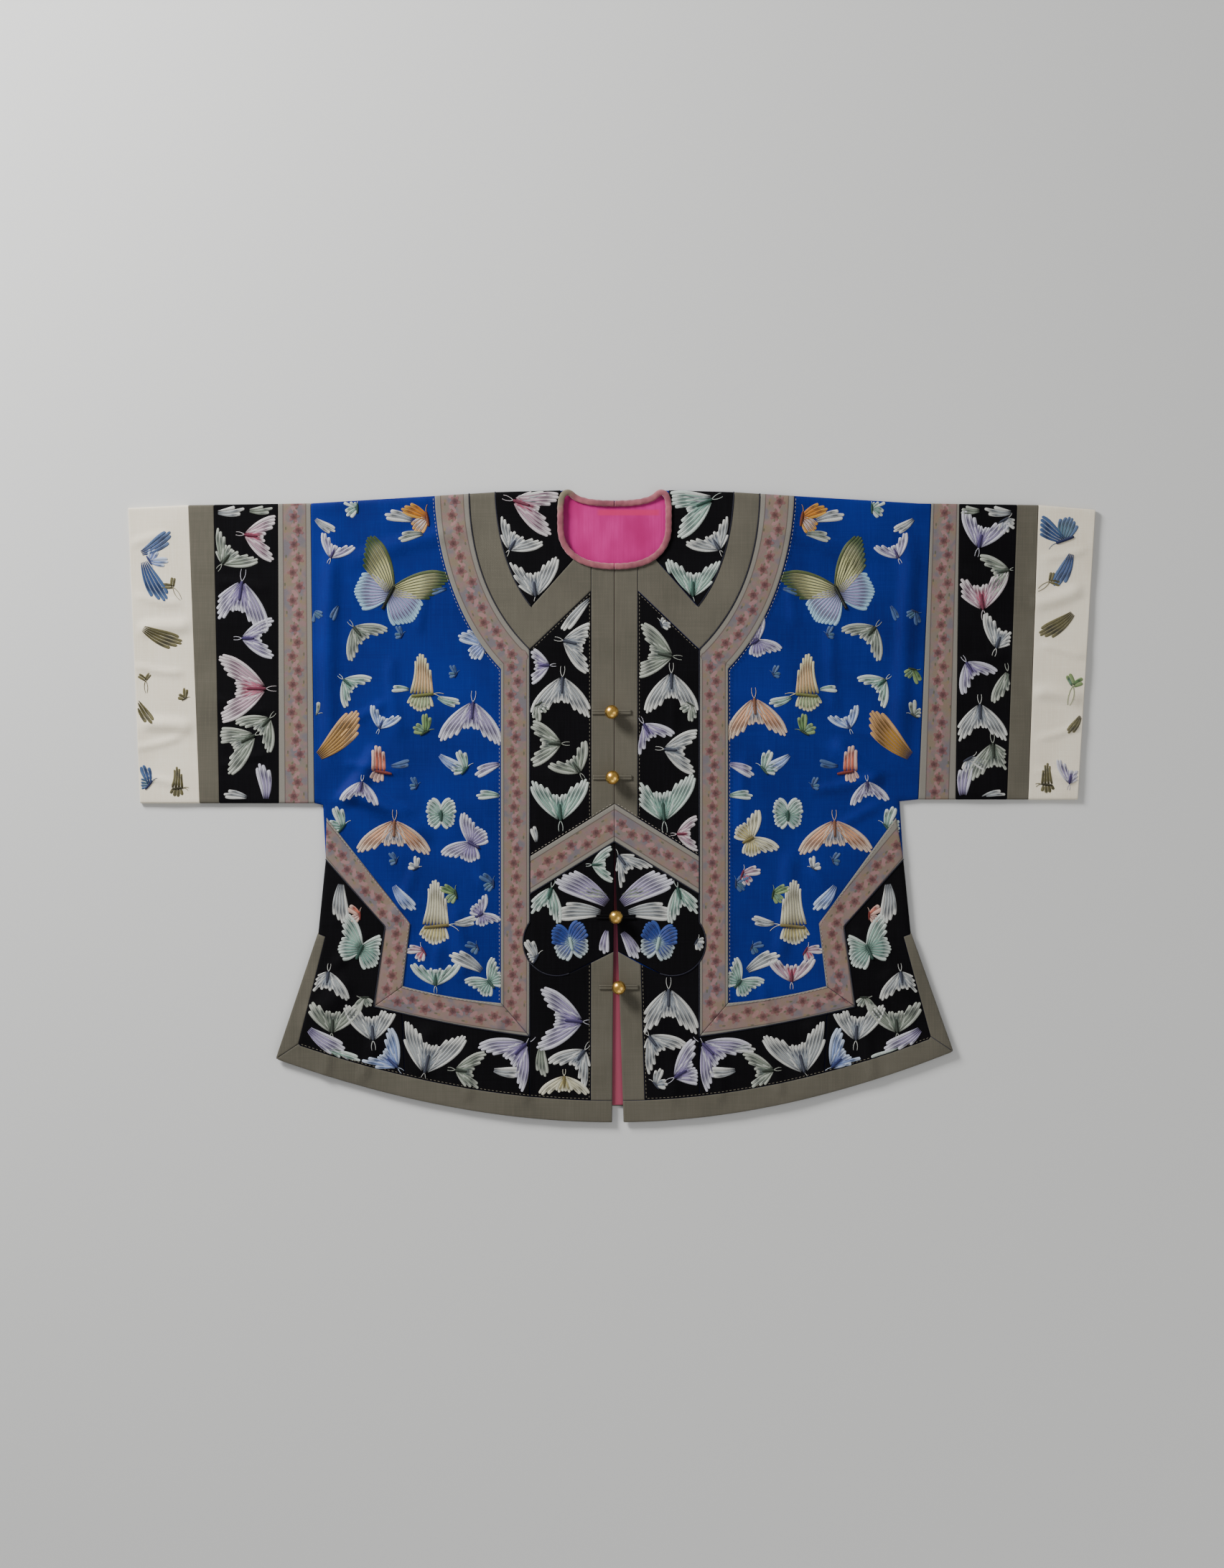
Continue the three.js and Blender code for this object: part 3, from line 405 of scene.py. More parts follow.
@dataclass(frozen=True)
class Side:
    """One half of the jacket as it lies. A pair is a seam's place at the fold and at the lower seam."""

    name: str
    sign: int
    ribbon: Point
    black: Point
    grey: Point
    cuff: Point
    mouth: Point
    mouth_drop: float
    sleeve_seam: float
    underarm: float
    corner: float
    open_at_hem: float
    placket_swing: float

    def plan(self, outline: Array) -> Array:
        """Turns (u, v) into places on the plan."""
        return np.column_stack([OPENING_X + self.sign * outline[:, 0], outline[:, 1]])

    def parted(self, v: float) -> float:
        """Gives how far the opening has parted at a height, from 0 to 1 at the hem."""
        return max(OPENING_PARTS_AT - v, 0.0) / (OPENING_PARTS_AT - HEM)

    def opening(self, v: float) -> Point:
        """Gives the opening's edge at a height."""
        return (self.open_at_hem * self.parted(v), v)

    def placket(self, v: float) -> float:
        """Gives the placket's outer edge at a height."""
        return PLACKET + self.placket_swing * self.parted(v)

    def hem(self) -> Array:
        """Gives the hem from the opening out to its corner."""
        rise = self.corner - HEM
        return bezier((0, HEM), (130, HEM), (250, HEM + 0.41 * rise), (HEM_CORNER, self.corner))

    def shoulder(self, u: float) -> float:
        """Gives the height of the shoulder fold."""
        line = rows(SHOULDER, (self.mouth[0], SHOULDER[-1, 1] - self.mouth_drop))
        return float(np.interp(u, line[:, 0], line[:, 1]))

    def fold(self) -> Array:
        """Gives the shoulder fold from the neck out to the sleeve's ribbon."""
        end = self.ribbon[0]
        return rows(
            SHOULDER[(SHOULDER[:, 0] > NECK_HALF) & (SHOULDER[:, 0] < end)], (end, self.shoulder(end)),
        )

    def hem_inner(self) -> Array:
        """Gives the inner edge of the hem's binding, out to the slit's binding."""
        return rows(self.hem()[:-1] + (0, HEM_BINDING), (SLIT_BINDING_U, self.corner + SLIT_BINDING_RISE))

    def side_seam(self) -> Array:
        """Gives the seam from the sleeve ribbon down to the hem's corner."""
        return rows(
            (self.ribbon[1], self.sleeve_seam), (self.underarm, self.sleeve_seam - 2), SIDE_WAIST, SLIT_TOP,
            (HEM_CORNER, self.corner),
        )

    def ground(self) -> Array:
        """Gives the outline of the blue front."""
        return rows(
            neckline(0, NECK_HALF), (NECK_HALF, NECK_SHOULDER), self.fold(), self.side_seam()[:-1],
            self.hem()[::-1][:-1], (self.open_at_hem, HEM), (0, OPENING_PARTS_AT),
        )

    def slit_edge(self, rise: float) -> Point:
        """Gives where a raised hem line of the back ends on the slit."""
        share = rise / (SLIT_TOP[1] - self.corner)
        return (HEM_CORNER - BACK_SHY + (SLIT_TOP[0] - HEM_CORNER) * share, self.corner + rise)

    def strips(self) -> dict[str, StripCut]:
        """Gives every strip of the front, by name.

        Returns:
            Each strip's cut, by the first part of its node's name.
        """
        hem = self.hem()
        hem_inner = self.hem_inner()
        binding_top = (SLIT_TOP[0] - SLIT_BINDING_TOP, SLIT_TOP[1] - 3)
        placket_top = self.placket(cloud_base(PLACKET))
        placket_foot = between(hem_inner, self.placket(HEM), BORDER)[0]
        open_foot = height_on(hem_inner, 10)
        black, grey, ribbon = StripKind.BLACK, StripKind.GREY, StripKind.RIBBON
        cut = StripCut.of
        fork = (PLACKET, ARM_PLACKET)
        placket_end = (placket_top, cloud_base(placket_top))
        slit_inner = rows((self.underarm - 4, SLIT_RIBBON_TOP_INNER), SLIT_KNEE_INNER, SLIT_CORNER_INNER)
        chevron_top, chevron_low = chevron_edge(CHEVRON_TOP), chevron_edge(CHEVRON_BOTTOM)
        upper_end = chevron_line(CHEVRON_TOP, PLACKET)
        return {
            "yoke": cut(black, neckline(YOKE_NECK_U, NECK_HALF), (NECK_HALF, NECK_SHOULDER), YOKE_CURVE),
            "yoke_band": cut(grey, YOKE_CURVE[::-1], RIBBON_INNER, fork, neckline(PLACKET, YOKE_NECK_U)),
            "placket_upper": cut(
                grey, neckline(0, PLACKET), upper_end, (0, CHEVRON_TOP),
                middle=((PLACKET / 2, 256), (PLACKET / 2, 0)),
            ),
            "front_band": cut(black, fork, ARM_TIP, chevron_top[1], upper_end),
            "chevron": cut(
                ribbon, chevron_top, chevron_low[::-1],
                middle=chevron_edge((CHEVRON_TOP + CHEVRON_BOTTOM) / 2),
            ),
            "cloud": cut(black, chevron_low, LOBE_ON_RIBBON, LOBE_BELOW[1:], self.opening(CLOUD_BOTTOM)),
            "ribbon_front": cut(
                ribbon, RIBBON_INNER, LOBE_ON_RIBBON, CORNER_OUTER, CORNER_INNER, RIBBON_OUTER[::-1],
                middle=rows(RIBBON_MIDDLE, RIBBON_CORNER),
            ),
            "ribbon_hem": cut(
                ribbon, HEM_RIBBON_OUTER, HEM_RIBBON_INNER[::-1],
                middle=sagging(RIBBON_CORNER, SLIT_CORNER),
            ),
            "ribbon_slit": cut(
                ribbon, SLIT_RIBBON_OUTER, slit_inner, middle=(SLIT_CORNER, (232.5, -128.5), (310, -35.5)),
            ),
            "placket_lower": cut(
                grey, self.opening(CLOUD_BOTTOM), placket_end, placket_foot, self.opening(open_foot),
                middle=((PLACKET / 2, CLOUD_BOTTOM), (PLACKET / 2 + self.open_at_hem, HEM + HEM_BINDING)),
            ),
            "border_front": cut(
                black, placket_end, LOBE_BELOW[::-1], between(hem_inner, placket_foot[0], BORDER)[::-1],
            ),
            "border_hem": cut(
                black, between(HEM_RIBBON_OUTER, BORDER, BORDER_SEAM),
                between(hem_inner, BORDER, BORDER_SEAM - 3)[::-1],
            ),
            "border_side": cut(
                black, (BORDER_SEAM, height_on(HEM_RIBBON_OUTER, BORDER_SEAM)), SLIT_RIBBON_OUTER, SLIT_TOP,
                binding_top, between(hem_inner, BORDER_SEAM - 3, SLIT_BINDING_U)[::-1],
            ),
            "binding_slit": cut(
                grey, SLIT_TOP, (HEM_CORNER, self.corner), hem_inner[-1], binding_top,
                middle=((314, -139), (351, self.corner + 8)),
            ),
            "binding_hem": cut(
                grey, between(hem, self.open_at_hem, HEM_CORNER),
                between(hem_inner, self.opening(open_foot)[0], SLIT_BINDING_U)[::-1],
                middle=hem + (0, HEM_BINDING / 2),
            ),
        }


def height_on(curve: Array, u: float) -> float:
    """Gives a curve's height at a distance out."""
    return float(np.interp(u, curve[:, 0], curve[:, 1]))


def between(curve: Array, start: float, end: float) -> Array:
    """Gives the stretch of a curve between two distances out."""
    middle = curve[(curve[:, 0] > start + 0.5) & (curve[:, 0] < end - 0.5)]
    return rows((start, height_on(curve, start)), middle, (end, height_on(curve, end)))


LEFT = Side("left", -1, (326, 322), (361, 360), (430, 424), (457, 445), (522, 509), 3, 2, 313, -272, 2.5, 0.5)
RIGHT = Side(
    "right", 1, (340, 326), (370, 366), (432, 421), (455, 444), (516, 497), 5, 6, 306, -264, 9.5, 7.5,
)


@dataclass(frozen=True)
class Crease:
    """A soft ridge on the plan from (x1, y1) to (x2, y2), fading out at both ends."""

    x1: float
    y1: float
    x2: float
    y2: float
    half_width: float
    height: float


def creases(*table: tuple[float, ...]) -> tuple[Crease, ...]:
    """Makes creases from rows of x1, y1, x2, y2, half width and height."""
    return tuple(Crease(*row) for row in table)


MAIN_FOLDS = creases(
    (-303, 300, -301, 24, 15, 3.4), (318, 300, 311, 26, 16, 3.8), (-292, 22, -186, -36, 16, 4.6),
    (-296, -6, -246, 66, 14, 4.0), (290, 16, 236, 74, 15, 4.2), (-168, -100, -160, -196, 13, 3.0),
    (196, -40, 176, -180, 14, 3.0), (-512, 186, -448, 196, 12, 3.6), (-508, 92, -446, 80, 12, 3.8),
    (448, 124, 508, 112, 12, 3.6), (446, 216, 510, 230, 12, 3.4), (-280, -180, -322, -236, 17, 3.0),
    (-196, -232, -204, -296, 16, 2.6), (214, -226, 232, -282, 17, 2.8), (286, -176, 330, -224, 17, 3.0),
)
SMALL_CREASES = creases(
    (-516, 150, -456, 140, 6, 2.0), (-516, 60, -456, 74, 6, 1.8), (-516, 226, -458, 214, 7, 1.6),
    (-508, 34, -462, 20, 6, 1.8), (-520, 280, -470, 292, 7, 1.4), (456, 172, 512, 160, 6, 2.0),
    (452, 70, 508, 86, 6, 1.8), (458, 264, 514, 274, 7, 1.6), (450, 38, 500, 26, 6, 1.8),
    (-426, 244, -364, 228, 8, 1.4), (-428, 116, -364, 96, 8, 1.6), (-424, 40, -364, 58, 7, 1.3),
    (370, 252, 430, 236, 8, 1.4), (368, 150, 428, 164, 8, 1.4), (370, 66, 426, 48, 7, 1.4),
    (-140, 304, -292, 256, 15, 1.9), (150, 306, 300, 262, 15, 1.9), (-298, 10, -206, -8, 9, 2.1),
    (-292, 44, -220, 36, 8, 1.6), (-296, 84, -236, 112, 9, 1.4), (298, 34, 208, 12, 9, 2.1),
    (296, 2, 216, -34, 9, 1.9), (302, 64, 236, 90, 8, 1.6), (-240, 166, -226, 66, 11, 1.6),
    (-196, 250, -208, 180, 10, 1.3), (230, 200, 242, 92, 11, 1.6), (186, 262, 200, 186, 10, 1.3),
    (-150, -16, -140, -96, 9, 1.4), (144, 60, 136, -40, 9, 1.4), (-206, -62, -238, -126, 10, 1.4),
    (214, -60, 244, -118, 10, 1.4), (-182, -140, -192, -214, 9, 1.8), (-118, -176, -124, -252, 9, 1.4),
    (160, -186, 168, -252, 9, 1.6), (-258, -136, -304, -178, 9, 1.9), (258, -130, 300, -164, 9, 1.9),
    (-300, -250, -312, -298, 10, 1.6), (-92, -252, -92, -326, 10, 1.6), (-150, -256, -158, -322, 10, 1.8),
    (-254, -246, -268, -302, 10, 1.8), (116, -256, 118, -326, 10, 1.6), (170, -250, 180, -318, 10, 1.8),
    (268, -236, 284, -296, 10, 1.8), (312, -212, 330, -262, 9, 1.6), (64, -248, 66, -326, 9, 1.3),
    (-60, 96, -62, 20, 8, 1.0), (66, 130, 64, 40, 8, 1.0),
)


@dataclass(frozen=True)
class Relief:
    """The height of the cloth over its flat layers, shared by every layer of the front.

    Attributes:
        creases: The ridges.
        fade: Share of a crease's length over which each end fades.
        ripple: Height of the cloth's slight unevenness.
        waves: How many slanting waves make it up.
        wave_lengths: Their least and greatest length.
        peak: The greatest height of the waves together, in their usual height.
        wander: How far a crease sways, as a share of its half width.
        swing: How fast it sways along its length.
        seed: What the waves are drawn from.
        quiet: Half width of the stretch by the opening with no waves, and how far out they are whole.
    """

    creases: tuple[Crease, ...] = MAIN_FOLDS + SMALL_CREASES
    fade: float = 0.22
    ripple: float = 0.42
    waves: int = 14
    wave_lengths: tuple[float, float] = (34, 130)
    peak: float = 1.6
    wander: float = 0.35
    swing: float = 5.1
    seed: int = 11
    quiet: tuple[float, float] = (12, 60)

    def swell(self, points: Array) -> Array:
        """Gives the height that creases and ripples add at places on the plan.

        Args:
            points: Places on the plan.

        Returns:
            One height for each place, in millimetres.
        """
        x, y = points[:, 0], points[:, 1]
        height = np.zeros(len(points))
        for crease in self.creases:
            dx, dy = crease.x2 - crease.x1, crease.y2 - crease.y1
            length = math.hypot(dx, dy)
            along = ((x - crease.x1) * dx + (y - crease.y1) * dy) / length**2
            bend = self.wander * crease.half_width * np.sin(along * self.swing + crease.x1)
            across = np.abs(((x - crease.x1) * dy - (y - crease.y1) * dx) / length - bend * 0.5)
            ends = smooth(along / self.fade) * smooth((1 - along) / self.fade)
            height += crease.height * ends * smooth(1 - across / crease.half_width)
        return height + self.unevenness(x, y)

    def unevenness(self, x: Array, y: Array) -> Array:
        """Gives the slight waves of silk that has been laid out by hand, never below zero.

        Args:
            x: Places across.
            y: Places along.

        Returns:
            One height for each place.
        """
        draw = np.random.default_rng(self.seed)
        total = np.zeros(len(x))
        for _ in range(self.waves):
            heading = draw.uniform(0, math.pi)
            length = draw.uniform(*self.wave_lengths)
            phase = draw.uniform(0, 2 * math.pi)
            total += np.sin((x * math.cos(heading) + y * math.sin(heading)) * 2 * math.pi / length + phase)
        quiet = smooth((np.abs(x - OPENING_X) - self.quiet[0]) / self.quiet[1])
        held = np.clip(total / math.sqrt(self.waves), -self.peak, self.peak)
        return self.ripple * quiet * (1 + held / self.peak)

    def turned_down(self, points: Array) -> Array:
        """Gives how far the front curves down to the back along the shoulder fold and the side seam.

        Args:
            points: Places on the plan.

        Returns:
            One drop for each place, up to TURN_DOWN.
        """
        drop = np.zeros(len(points))
        for side in (LEFT, RIGHT):
            u = side.sign * (points[:, 0] - OPENING_X)
            fold = side.plan(rows(*((u0, side.shoulder(u0)) for u0 in (50, 128, 193, 326, side.ribbon[0]))))
            seam = side.plan(side.side_seam()[:-1])
            for line in (fold, seam):
                nearest = open_distance(points, line)
                share = np.clip(1 - nearest / TURN_WIDTH, 0, 1)
                bow = TURN_DOWN * (1 - np.sqrt(np.maximum(1 - share**2, 0)))
                drop = np.where(u > 0, np.maximum(drop, bow), drop)
        return drop

    def height(self, points: Array) -> Array:
        """Gives the front's height over its flat layers, turned down at its folded and sewn edges."""
        down = self.turned_down(points)
        return self.swell(points) * (1 - down / TURN_DOWN) - down


RELIEF = Relief()


class NodeKit:
    """A short way to write one material's nodes."""

    def __init__(self, name: str) -> None:
        """Starts a material with a Principled shader."""
        self.material = bpy.data.materials.new(name)
        self.material.use_nodes = True
        self.tree = self.material.node_tree
        self.shader = self.tree.nodes["Principled BSDF"]

    def node(self, kind: str, inputs: dict | None = None, **settings: object) -> bpy.types.Node:
        """Adds a node.

        Args:
            kind: The node's type.
            inputs: Values or sockets, by input name or number.
            **settings: The node's own settings.

        Returns:
            The node.
        """
        made = self.tree.nodes.new(kind)
        for key, value in settings.items():
            setattr(made, key, value)
        for key, value in (inputs or {}).items():
            self.feed(made.inputs[key], value)
        return made

    def feed(self, socket: Socket, value: object) -> None:
        """Links a socket to another one, or sets its value."""
        if isinstance(value, Socket):
            self.tree.links.new(value, socket)
        else:
            socket.default_value = value

    def place(self, scale: tuple[float, float, float] = (1, 1, 1)) -> Socket:
        """Gives the piece's own coordinates in metres, stretched by a scale."""
        found = self.node("ShaderNodeTexCoord").outputs["Object"]
        return self.node("ShaderNodeMapping", {"Vector": found, "Scale": scale}).outputs[0]

    def attribute(self, name: str, output: str = "Vector") -> Socket:
        """Gives a named attribute of the mesh."""
        return self.node("ShaderNodeAttribute", attribute_name=name).outputs[output]

    def split(self, vector: Socket) -> list[Socket]:
        """Gives the three parts of a vector."""
        return list(self.node("ShaderNodeSeparateXYZ", {0: vector}).outputs)

    def noise(self, vector: Socket, scale: float, detail: float) -> Socket:
        """Gives a noise between 0 and 1."""
        return self.node(
            "ShaderNodeTexNoise", {"Vector": vector, "Scale": scale, "Detail": detail},
        ).outputs[0]

    def sum(self, operation: str, *values: object) -> Socket:
        """Works out one operation on numbers or sockets."""
        return self.node("ShaderNodeMath", dict(enumerate(values)), operation=operation).outputs[0]

    def times(self, first: object, second: object) -> Socket:
        """Multiplies two numbers or sockets."""
        return self.sum("MULTIPLY", first, second)

    def plus(self, first: object, second: object) -> Socket:
        """Adds two numbers or sockets."""
        return self.sum("ADD", first, second)

    def minus(self, first: object, second: object) -> Socket:
        """Takes the second of two numbers or sockets from the first."""
        return self.sum("SUBTRACT", first, second)

    def sine(self, value: object) -> Socket:
        """Gives the sine of a number or socket."""
        return self.sum("SINE", value)

    def blend(self, share: object, first: object, second: object, kind: str = "MIX") -> Socket:
        """Mixes two colours by a share.

        Args:
            share: How much of the second.
            first: A colour.
            second: A colour.
            kind: How they are mixed.

        Returns:
            The mixed colour.
        """
        made = self.node("ShaderNodeMix", data_type="RGBA", blend_type=kind)
        self.feed(made.inputs[0], share)
        self.feed(made.inputs[6], first)
        self.feed(made.inputs[7], second)
        return made.outputs[2]

    def ease(self, value: object, start: float, end: float, low: float = 0.0, high: float = 1.0) -> Socket:
        """Maps a value's range onto another, held at both ends.

        Args:
            value: The value.
            start: Where it begins to rise.
            end: Where it ends.
            low: What start gives.
            high: What end gives.

        Returns:
            The eased value.
        """
        made = self.node("ShaderNodeMapRange", {0: value, 1: start, 2: end, 3: low, 4: high})
        made.interpolation_type = "SMOOTHSTEP"
        return made.outputs[0]

    def bump(self, height: object, distance: float) -> Socket:
        """Turns a height into a bumped normal."""
        inputs = {"Height": height, "Distance": distance, "Strength": 1.0}
        return self.node("ShaderNodeBump", inputs).outputs[0]

    def finish(
        self, colour: object, roughness: object, normal: object = None, **constants: object,
    ) -> Material:
        """Feeds the shader.

        Args:
            colour: The base colour.
            roughness: The roughness.
            normal: The bumped normal, if any.
            **constants: Other shader inputs that are the same all over, with _ for a space.

        Returns:
            The material.
        """
        self.feed(self.shader.inputs["Base Color"], colour)
        self.feed(self.shader.inputs["Roughness"], roughness)
        if normal is not None:
            self.feed(self.shader.inputs["Normal"], normal)
        for name, value in constants.items():
            self.shader.inputs[name.replace("_", " ")].default_value = value
        return self.material


@dataclass(frozen=True)
class SilkFinish:
    """Woven silk, from satin to plain weave.

    Attributes:
        name: The material's name.
        deep: Its colour in the shade of the weave.
        base: Its main colour.
        light: The colour of its lighter threads.
        roughness: How dull it is.
        sheen: The strength of its sheen.
        sheen_tint: The colour of its sheen.
        warp: Threads in a metre across.
        weft: Threads in a metre along.
        slub: How much single threads differ in colour.
        grain: The height of the weave, in metres.
        specular: How strongly it shines.
    """

    name: str
    deep: Colour
    base: Colour
    light: Colour
    roughness: float
    sheen: float
    sheen_tint: Colour
    warp: float = 1900.0
    weft: float = 1500.0
    slub: float = 0.35
    grain: float = 0.00006
    specular: float = 0.25

    def material(self) -> Material:
        """Makes the material.

        Returns:
            The material.
        """
        kit = NodeKit(self.name)
        broad = kit.noise(kit.place(), 13.0, 3.0)
        warp = kit.noise(kit.place((1.0, 0.02, 1.0)), 1300.0, 2.0)
        weft = kit.noise(kit.place((0.02, 1.0, 1.0)), 1100.0, 2.0)
        threads = kit.plus(kit.times(warp, 0.6), kit.times(weft, 0.4))
        shade = kit.ease(broad, 0.24, 0.8, 0.2, 1.0)
        colour = kit.blend(shade, self.deep, self.base)
        colour = kit.blend(kit.times(kit.ease(threads, 0.42, 0.66), self.slub), colour, self.light)
        x, y, _ = kit.split(kit.place())
        slanted = kit.plus(x, kit.times(y, 0.3))
        weave = kit.times(
            kit.sine(kit.times(slanted, self.warp * math.pi)), kit.sine(kit.times(y, self.weft * math.pi)),
        )
        normal = kit.bump(kit.plus(weave, kit.times(threads, 2.2)), self.grain)
        rough = kit.ease(broad, 0.2, 0.8, self.roughness - 0.07, self.roughness + 0.07)
        return kit.finish(
            colour, rough, normal, Sheen_Weight=self.sheen, Sheen_Roughness=0.35,
            Sheen_Tint=self.sheen_tint, Specular_IOR_Level=self.specular,
        )


@dataclass(frozen=True)
class RibbonFinish:
    """Woven ribbon of five-petalled roses and leaves set to and fro, with grey selvedges. In millimetres."""

    name: str = "floral_ribbon_weave"
    repeat: float = 15.0
    sway: float = 2.7
    petal: float = 6.4
    selvedge: float = 12.3
    ground: Colour = srgb(118, 108, 98)
    ground_pink: Colour = srgb(128, 104, 102)
    ground_low: Colour = srgb(134, 110, 104)
    rose: Colour = srgb(84, 48, 52)
    rose_light: Colour = srgb(124, 84, 84)
    leaf: Colour = srgb(84, 86, 66)
    mist: Colour = srgb(100, 98, 106)
    bud: Colour = srgb(124, 108, 84)
    blush: Colour = srgb(150, 112, 112)
    edge: Colour = srgb(124, 120, 112)
    line: Colour = srgb(70, 52, 50)
    warmth: Colour = (1.08, 1.06, 1.04, 1)
    rib: float = 0.7

    def material(self) -> Material:
        """Makes the material.

        Returns:
            The material.
        """
        kit = NodeKit(self.name)
        along, across, _ = kit.split(kit.attribute("run"))
        turns = kit.times(along, math.pi / self.repeat)
        swing = kit.sine(turns)
        place = kit.sum("DIVIDE", along, self.repeat)
        dx = kit.times(kit.minus(kit.sum("FRACT", place), 0.5), self.repeat)
        number = kit.sum("FLOOR", place)
        chance = kit.node("ShaderNodeTexWhiteNoise", {"W": number}, noise_dimensions="1D").outputs[0]
        swayed = kit.sum("MULTIPLY_ADD", chance, 1.6 * self.sway, 0.2 * self.sway)
        centre = kit.times(kit.sum("SIGN", swing), swayed)
        dy = kit.minus(across, centre)
        radius = kit.sum("SQRT", kit.plus(kit.times(dx, dx), kit.times(dy, dy)))
        angle = kit.plus(kit.sum("ARCTAN2", dy, dx), kit.times(centre, 0.4))
        lobes = kit.sum("COSINE", kit.times(angle, 5.0))
        reach = kit.sum("MULTIPLY_ADD", lobes, 0.2 * self.petal, 0.8 * self.petal)
        flower = kit.ease(kit.minus(reach, radius), -0.2, 0.4)
        vein = kit.ease(lobes, -0.9, -0.5, 0.75, 0.0)
        heart = kit.ease(radius, 1.5, 0.8, 0.0, 0.6)
        beside = kit.sum("ABSOLUTE", dx)
        leaf = self.spot(kit, kit.minus(beside, 0.38 * self.repeat), dy, 1.7, 1.1)
        other = kit.plus(across, kit.times(centre, 2.4))
        bud = self.spot(kit, kit.plus(dx, 1.0), other, 1.7, 1.5)
        sprig = self.spot(kit, kit.minus(dx, 2.4), kit.plus(other, 0.6), 1.9, 0.9)
        swung = kit.plus(across, kit.times(swing, 3.0))
        pale = self.spot(kit, kit.minus(beside, 0.42 * self.repeat), swung, 2.7, 2.6)
        wide = kit.sum("ABSOLUTE", across)
        cloudy = kit.noise(kit.place(), 150.0, 3.0)
        speck = kit.noise(kit.place(), 1100.0, 2.0)
        _, y, _ = kit.split(kit.place())
        colour = kit.blend(kit.ease(cloudy, 0.38, 0.66), self.ground, self.ground_pink)
        colour = kit.blend(kit.ease(y, 0.02, -0.2, 0.0, 0.6), colour, self.ground_low)
        patchy = kit.noise(kit.place(), 62.0, 2.0)
        colour = kit.blend(kit.ease(patchy, 0.5, 0.66, 0.0, 0.75), colour, self.mist)
        colour = kit.blend(kit.ease(patchy, 0.46, 0.34, 0.0, 0.5), colour, self.bud)
        for shape, silk, share in (
            (pale, self.blush, 0.75), (leaf, self.leaf, 0.7), (bud, self.bud, 0.8), (sprig, self.leaf, 0.8),
        ):
            colour = kit.blend(kit.times(shape, share), colour, silk)
        petals = kit.blend(kit.ease(radius, 1.8, 4.4), self.rose, self.rose_light)
        petals = kit.blend(vein, petals, self.rose)
        colour = kit.blend(kit.times(flower, kit.ease(speck, 0.3, 0.6, 0.55, 0.9)), colour, petals)
        colour = kit.blend(heart, colour, self.line)
        colour = kit.blend(kit.ease(wide, self.selvedge - 0.4, self.selvedge), colour, self.edge)
        rule = kit.ease(kit.sum("ABSOLUTE", kit.minus(wide, self.selvedge)), 0.7, 0.35)
        colour = kit.blend(kit.times(rule, 0.6), colour, self.line)
        colour = kit.blend(kit.ease(speck, 0.35, 0.65, 0.0, 0.4), colour, self.warmth, "MULTIPLY")
        ribs = kit.sine(kit.times(along, 2 * math.pi / self.rib))
        raised = kit.plus(kit.times(flower, 1.5), leaf)
        height = kit.plus(kit.times(ribs, 0.4), kit.plus(raised, speck))
        return kit.finish(
            colour, 0.68, kit.bump(height, 0.0001), Sheen_Weight=0.05, Sheen_Roughness=0.4,
            Specular_IOR_Level=0.14,
        )

    def spot(self, kit: NodeKit, x: object, y: object, long: float, wide: float) -> Socket:
        """Draws a soft oval with the given half sizes."""
        shares = (kit.sum("DIVIDE", x, long), kit.sum("DIVIDE", y, wide))
        far = kit.plus(*(kit.sum("POWER", share, 2.0) for share in shares))
        return kit.ease(far, 1.25, 0.75)


@dataclass(frozen=True)
class ThreadFinish:
    """Flossed silk laid side by side in satin stitch, coloured by its mesh attribute, with painted shade
    between threads.
    """

    name: str = "satin_stitch"
    pitch: float = 0.55

    def material(self) -> Material:
        """Makes the material.

        Returns:
            The material.
        """
        kit = NodeKit(self.name)
        across, along, _ = kit.split(kit.attribute("thread"))
        wander = kit.noise(kit.place(), 260.0, 2.0)
        phase = kit.sum("MULTIPLY_ADD", across, 2 * math.pi / self.pitch, kit.times(wander, 5.0))
        floss = kit.sum("MULTIPLY_ADD", kit.sine(phase), 0.5, 0.5)
        ends = kit.noise(kit.place(), 700.0, 2.0)
        # Painted shade: the silk's colour darkens in the grooves between the floss threads, and the noise
        # adds random tone.
        dark = kit.sum("MULTIPLY_ADD", floss, 0.3, kit.sum("MULTIPLY_ADD", ends, 0.3, 0.55))
        shade = kit.node("ShaderNodeCombineColor", {0: dark, 1: dark, 2: dark}).outputs[0]
        colour = kit.blend(1.0, kit.attribute("silk", "Color"), shade, "MULTIPLY")
        height = kit.plus(floss, kit.times(kit.sine(kit.times(along, 0.9)), 0.2))
        return kit.finish(
            colour, 0.46, kit.bump(height, 0.00016), Sheen_Weight=0.06, Sheen_Roughness=0.3,
            Specular_IOR_Level=0.28,
        )


@dataclass(frozen=True)
class BindingFinish:
    """Bias-cut silk rolled over the neck's edge, olive by the left shoulder and dusty rose elsewhere."""

    name: str = "neck_binding_silk"
    rose: Colour = srgb(176, 104, 112)
    rose_deep: Colour = srgb(132, 74, 84)
    olive: Colour = srgb(122, 112, 92)
    bias: float = 0.0009

    def material(self) -> Material:
        """Makes the material.

        Returns:
            The material.
        """
        kit = NodeKit(self.name)
        x, y, _ = kit.split(kit.place())
        cloudy = kit.noise(kit.place(), 60.0, 4.0)
        colour = kit.blend(kit.ease(cloudy, 0.3, 0.7), self.rose_deep, self.rose)
        corner = kit.ease(kit.plus(kit.minus(y, x), kit.times(cloudy, 0.02)), 0.375, 0.395)
        colour = kit.blend(corner, colour, self.olive)
        bias = kit.sine(kit.times(kit.plus(x, y), 2 * math.pi / self.bias))
        fine = kit.noise(kit.place(), 900.0, 2.0)
        normal = kit.bump(kit.plus(bias, kit.times(fine, 2.0)), 0.00008)
        return kit.finish(
            colour, 0.5, normal, Sheen_Weight=0.4, Sheen_Roughness=0.35, Specular_IOR_Level=0.35,
        )


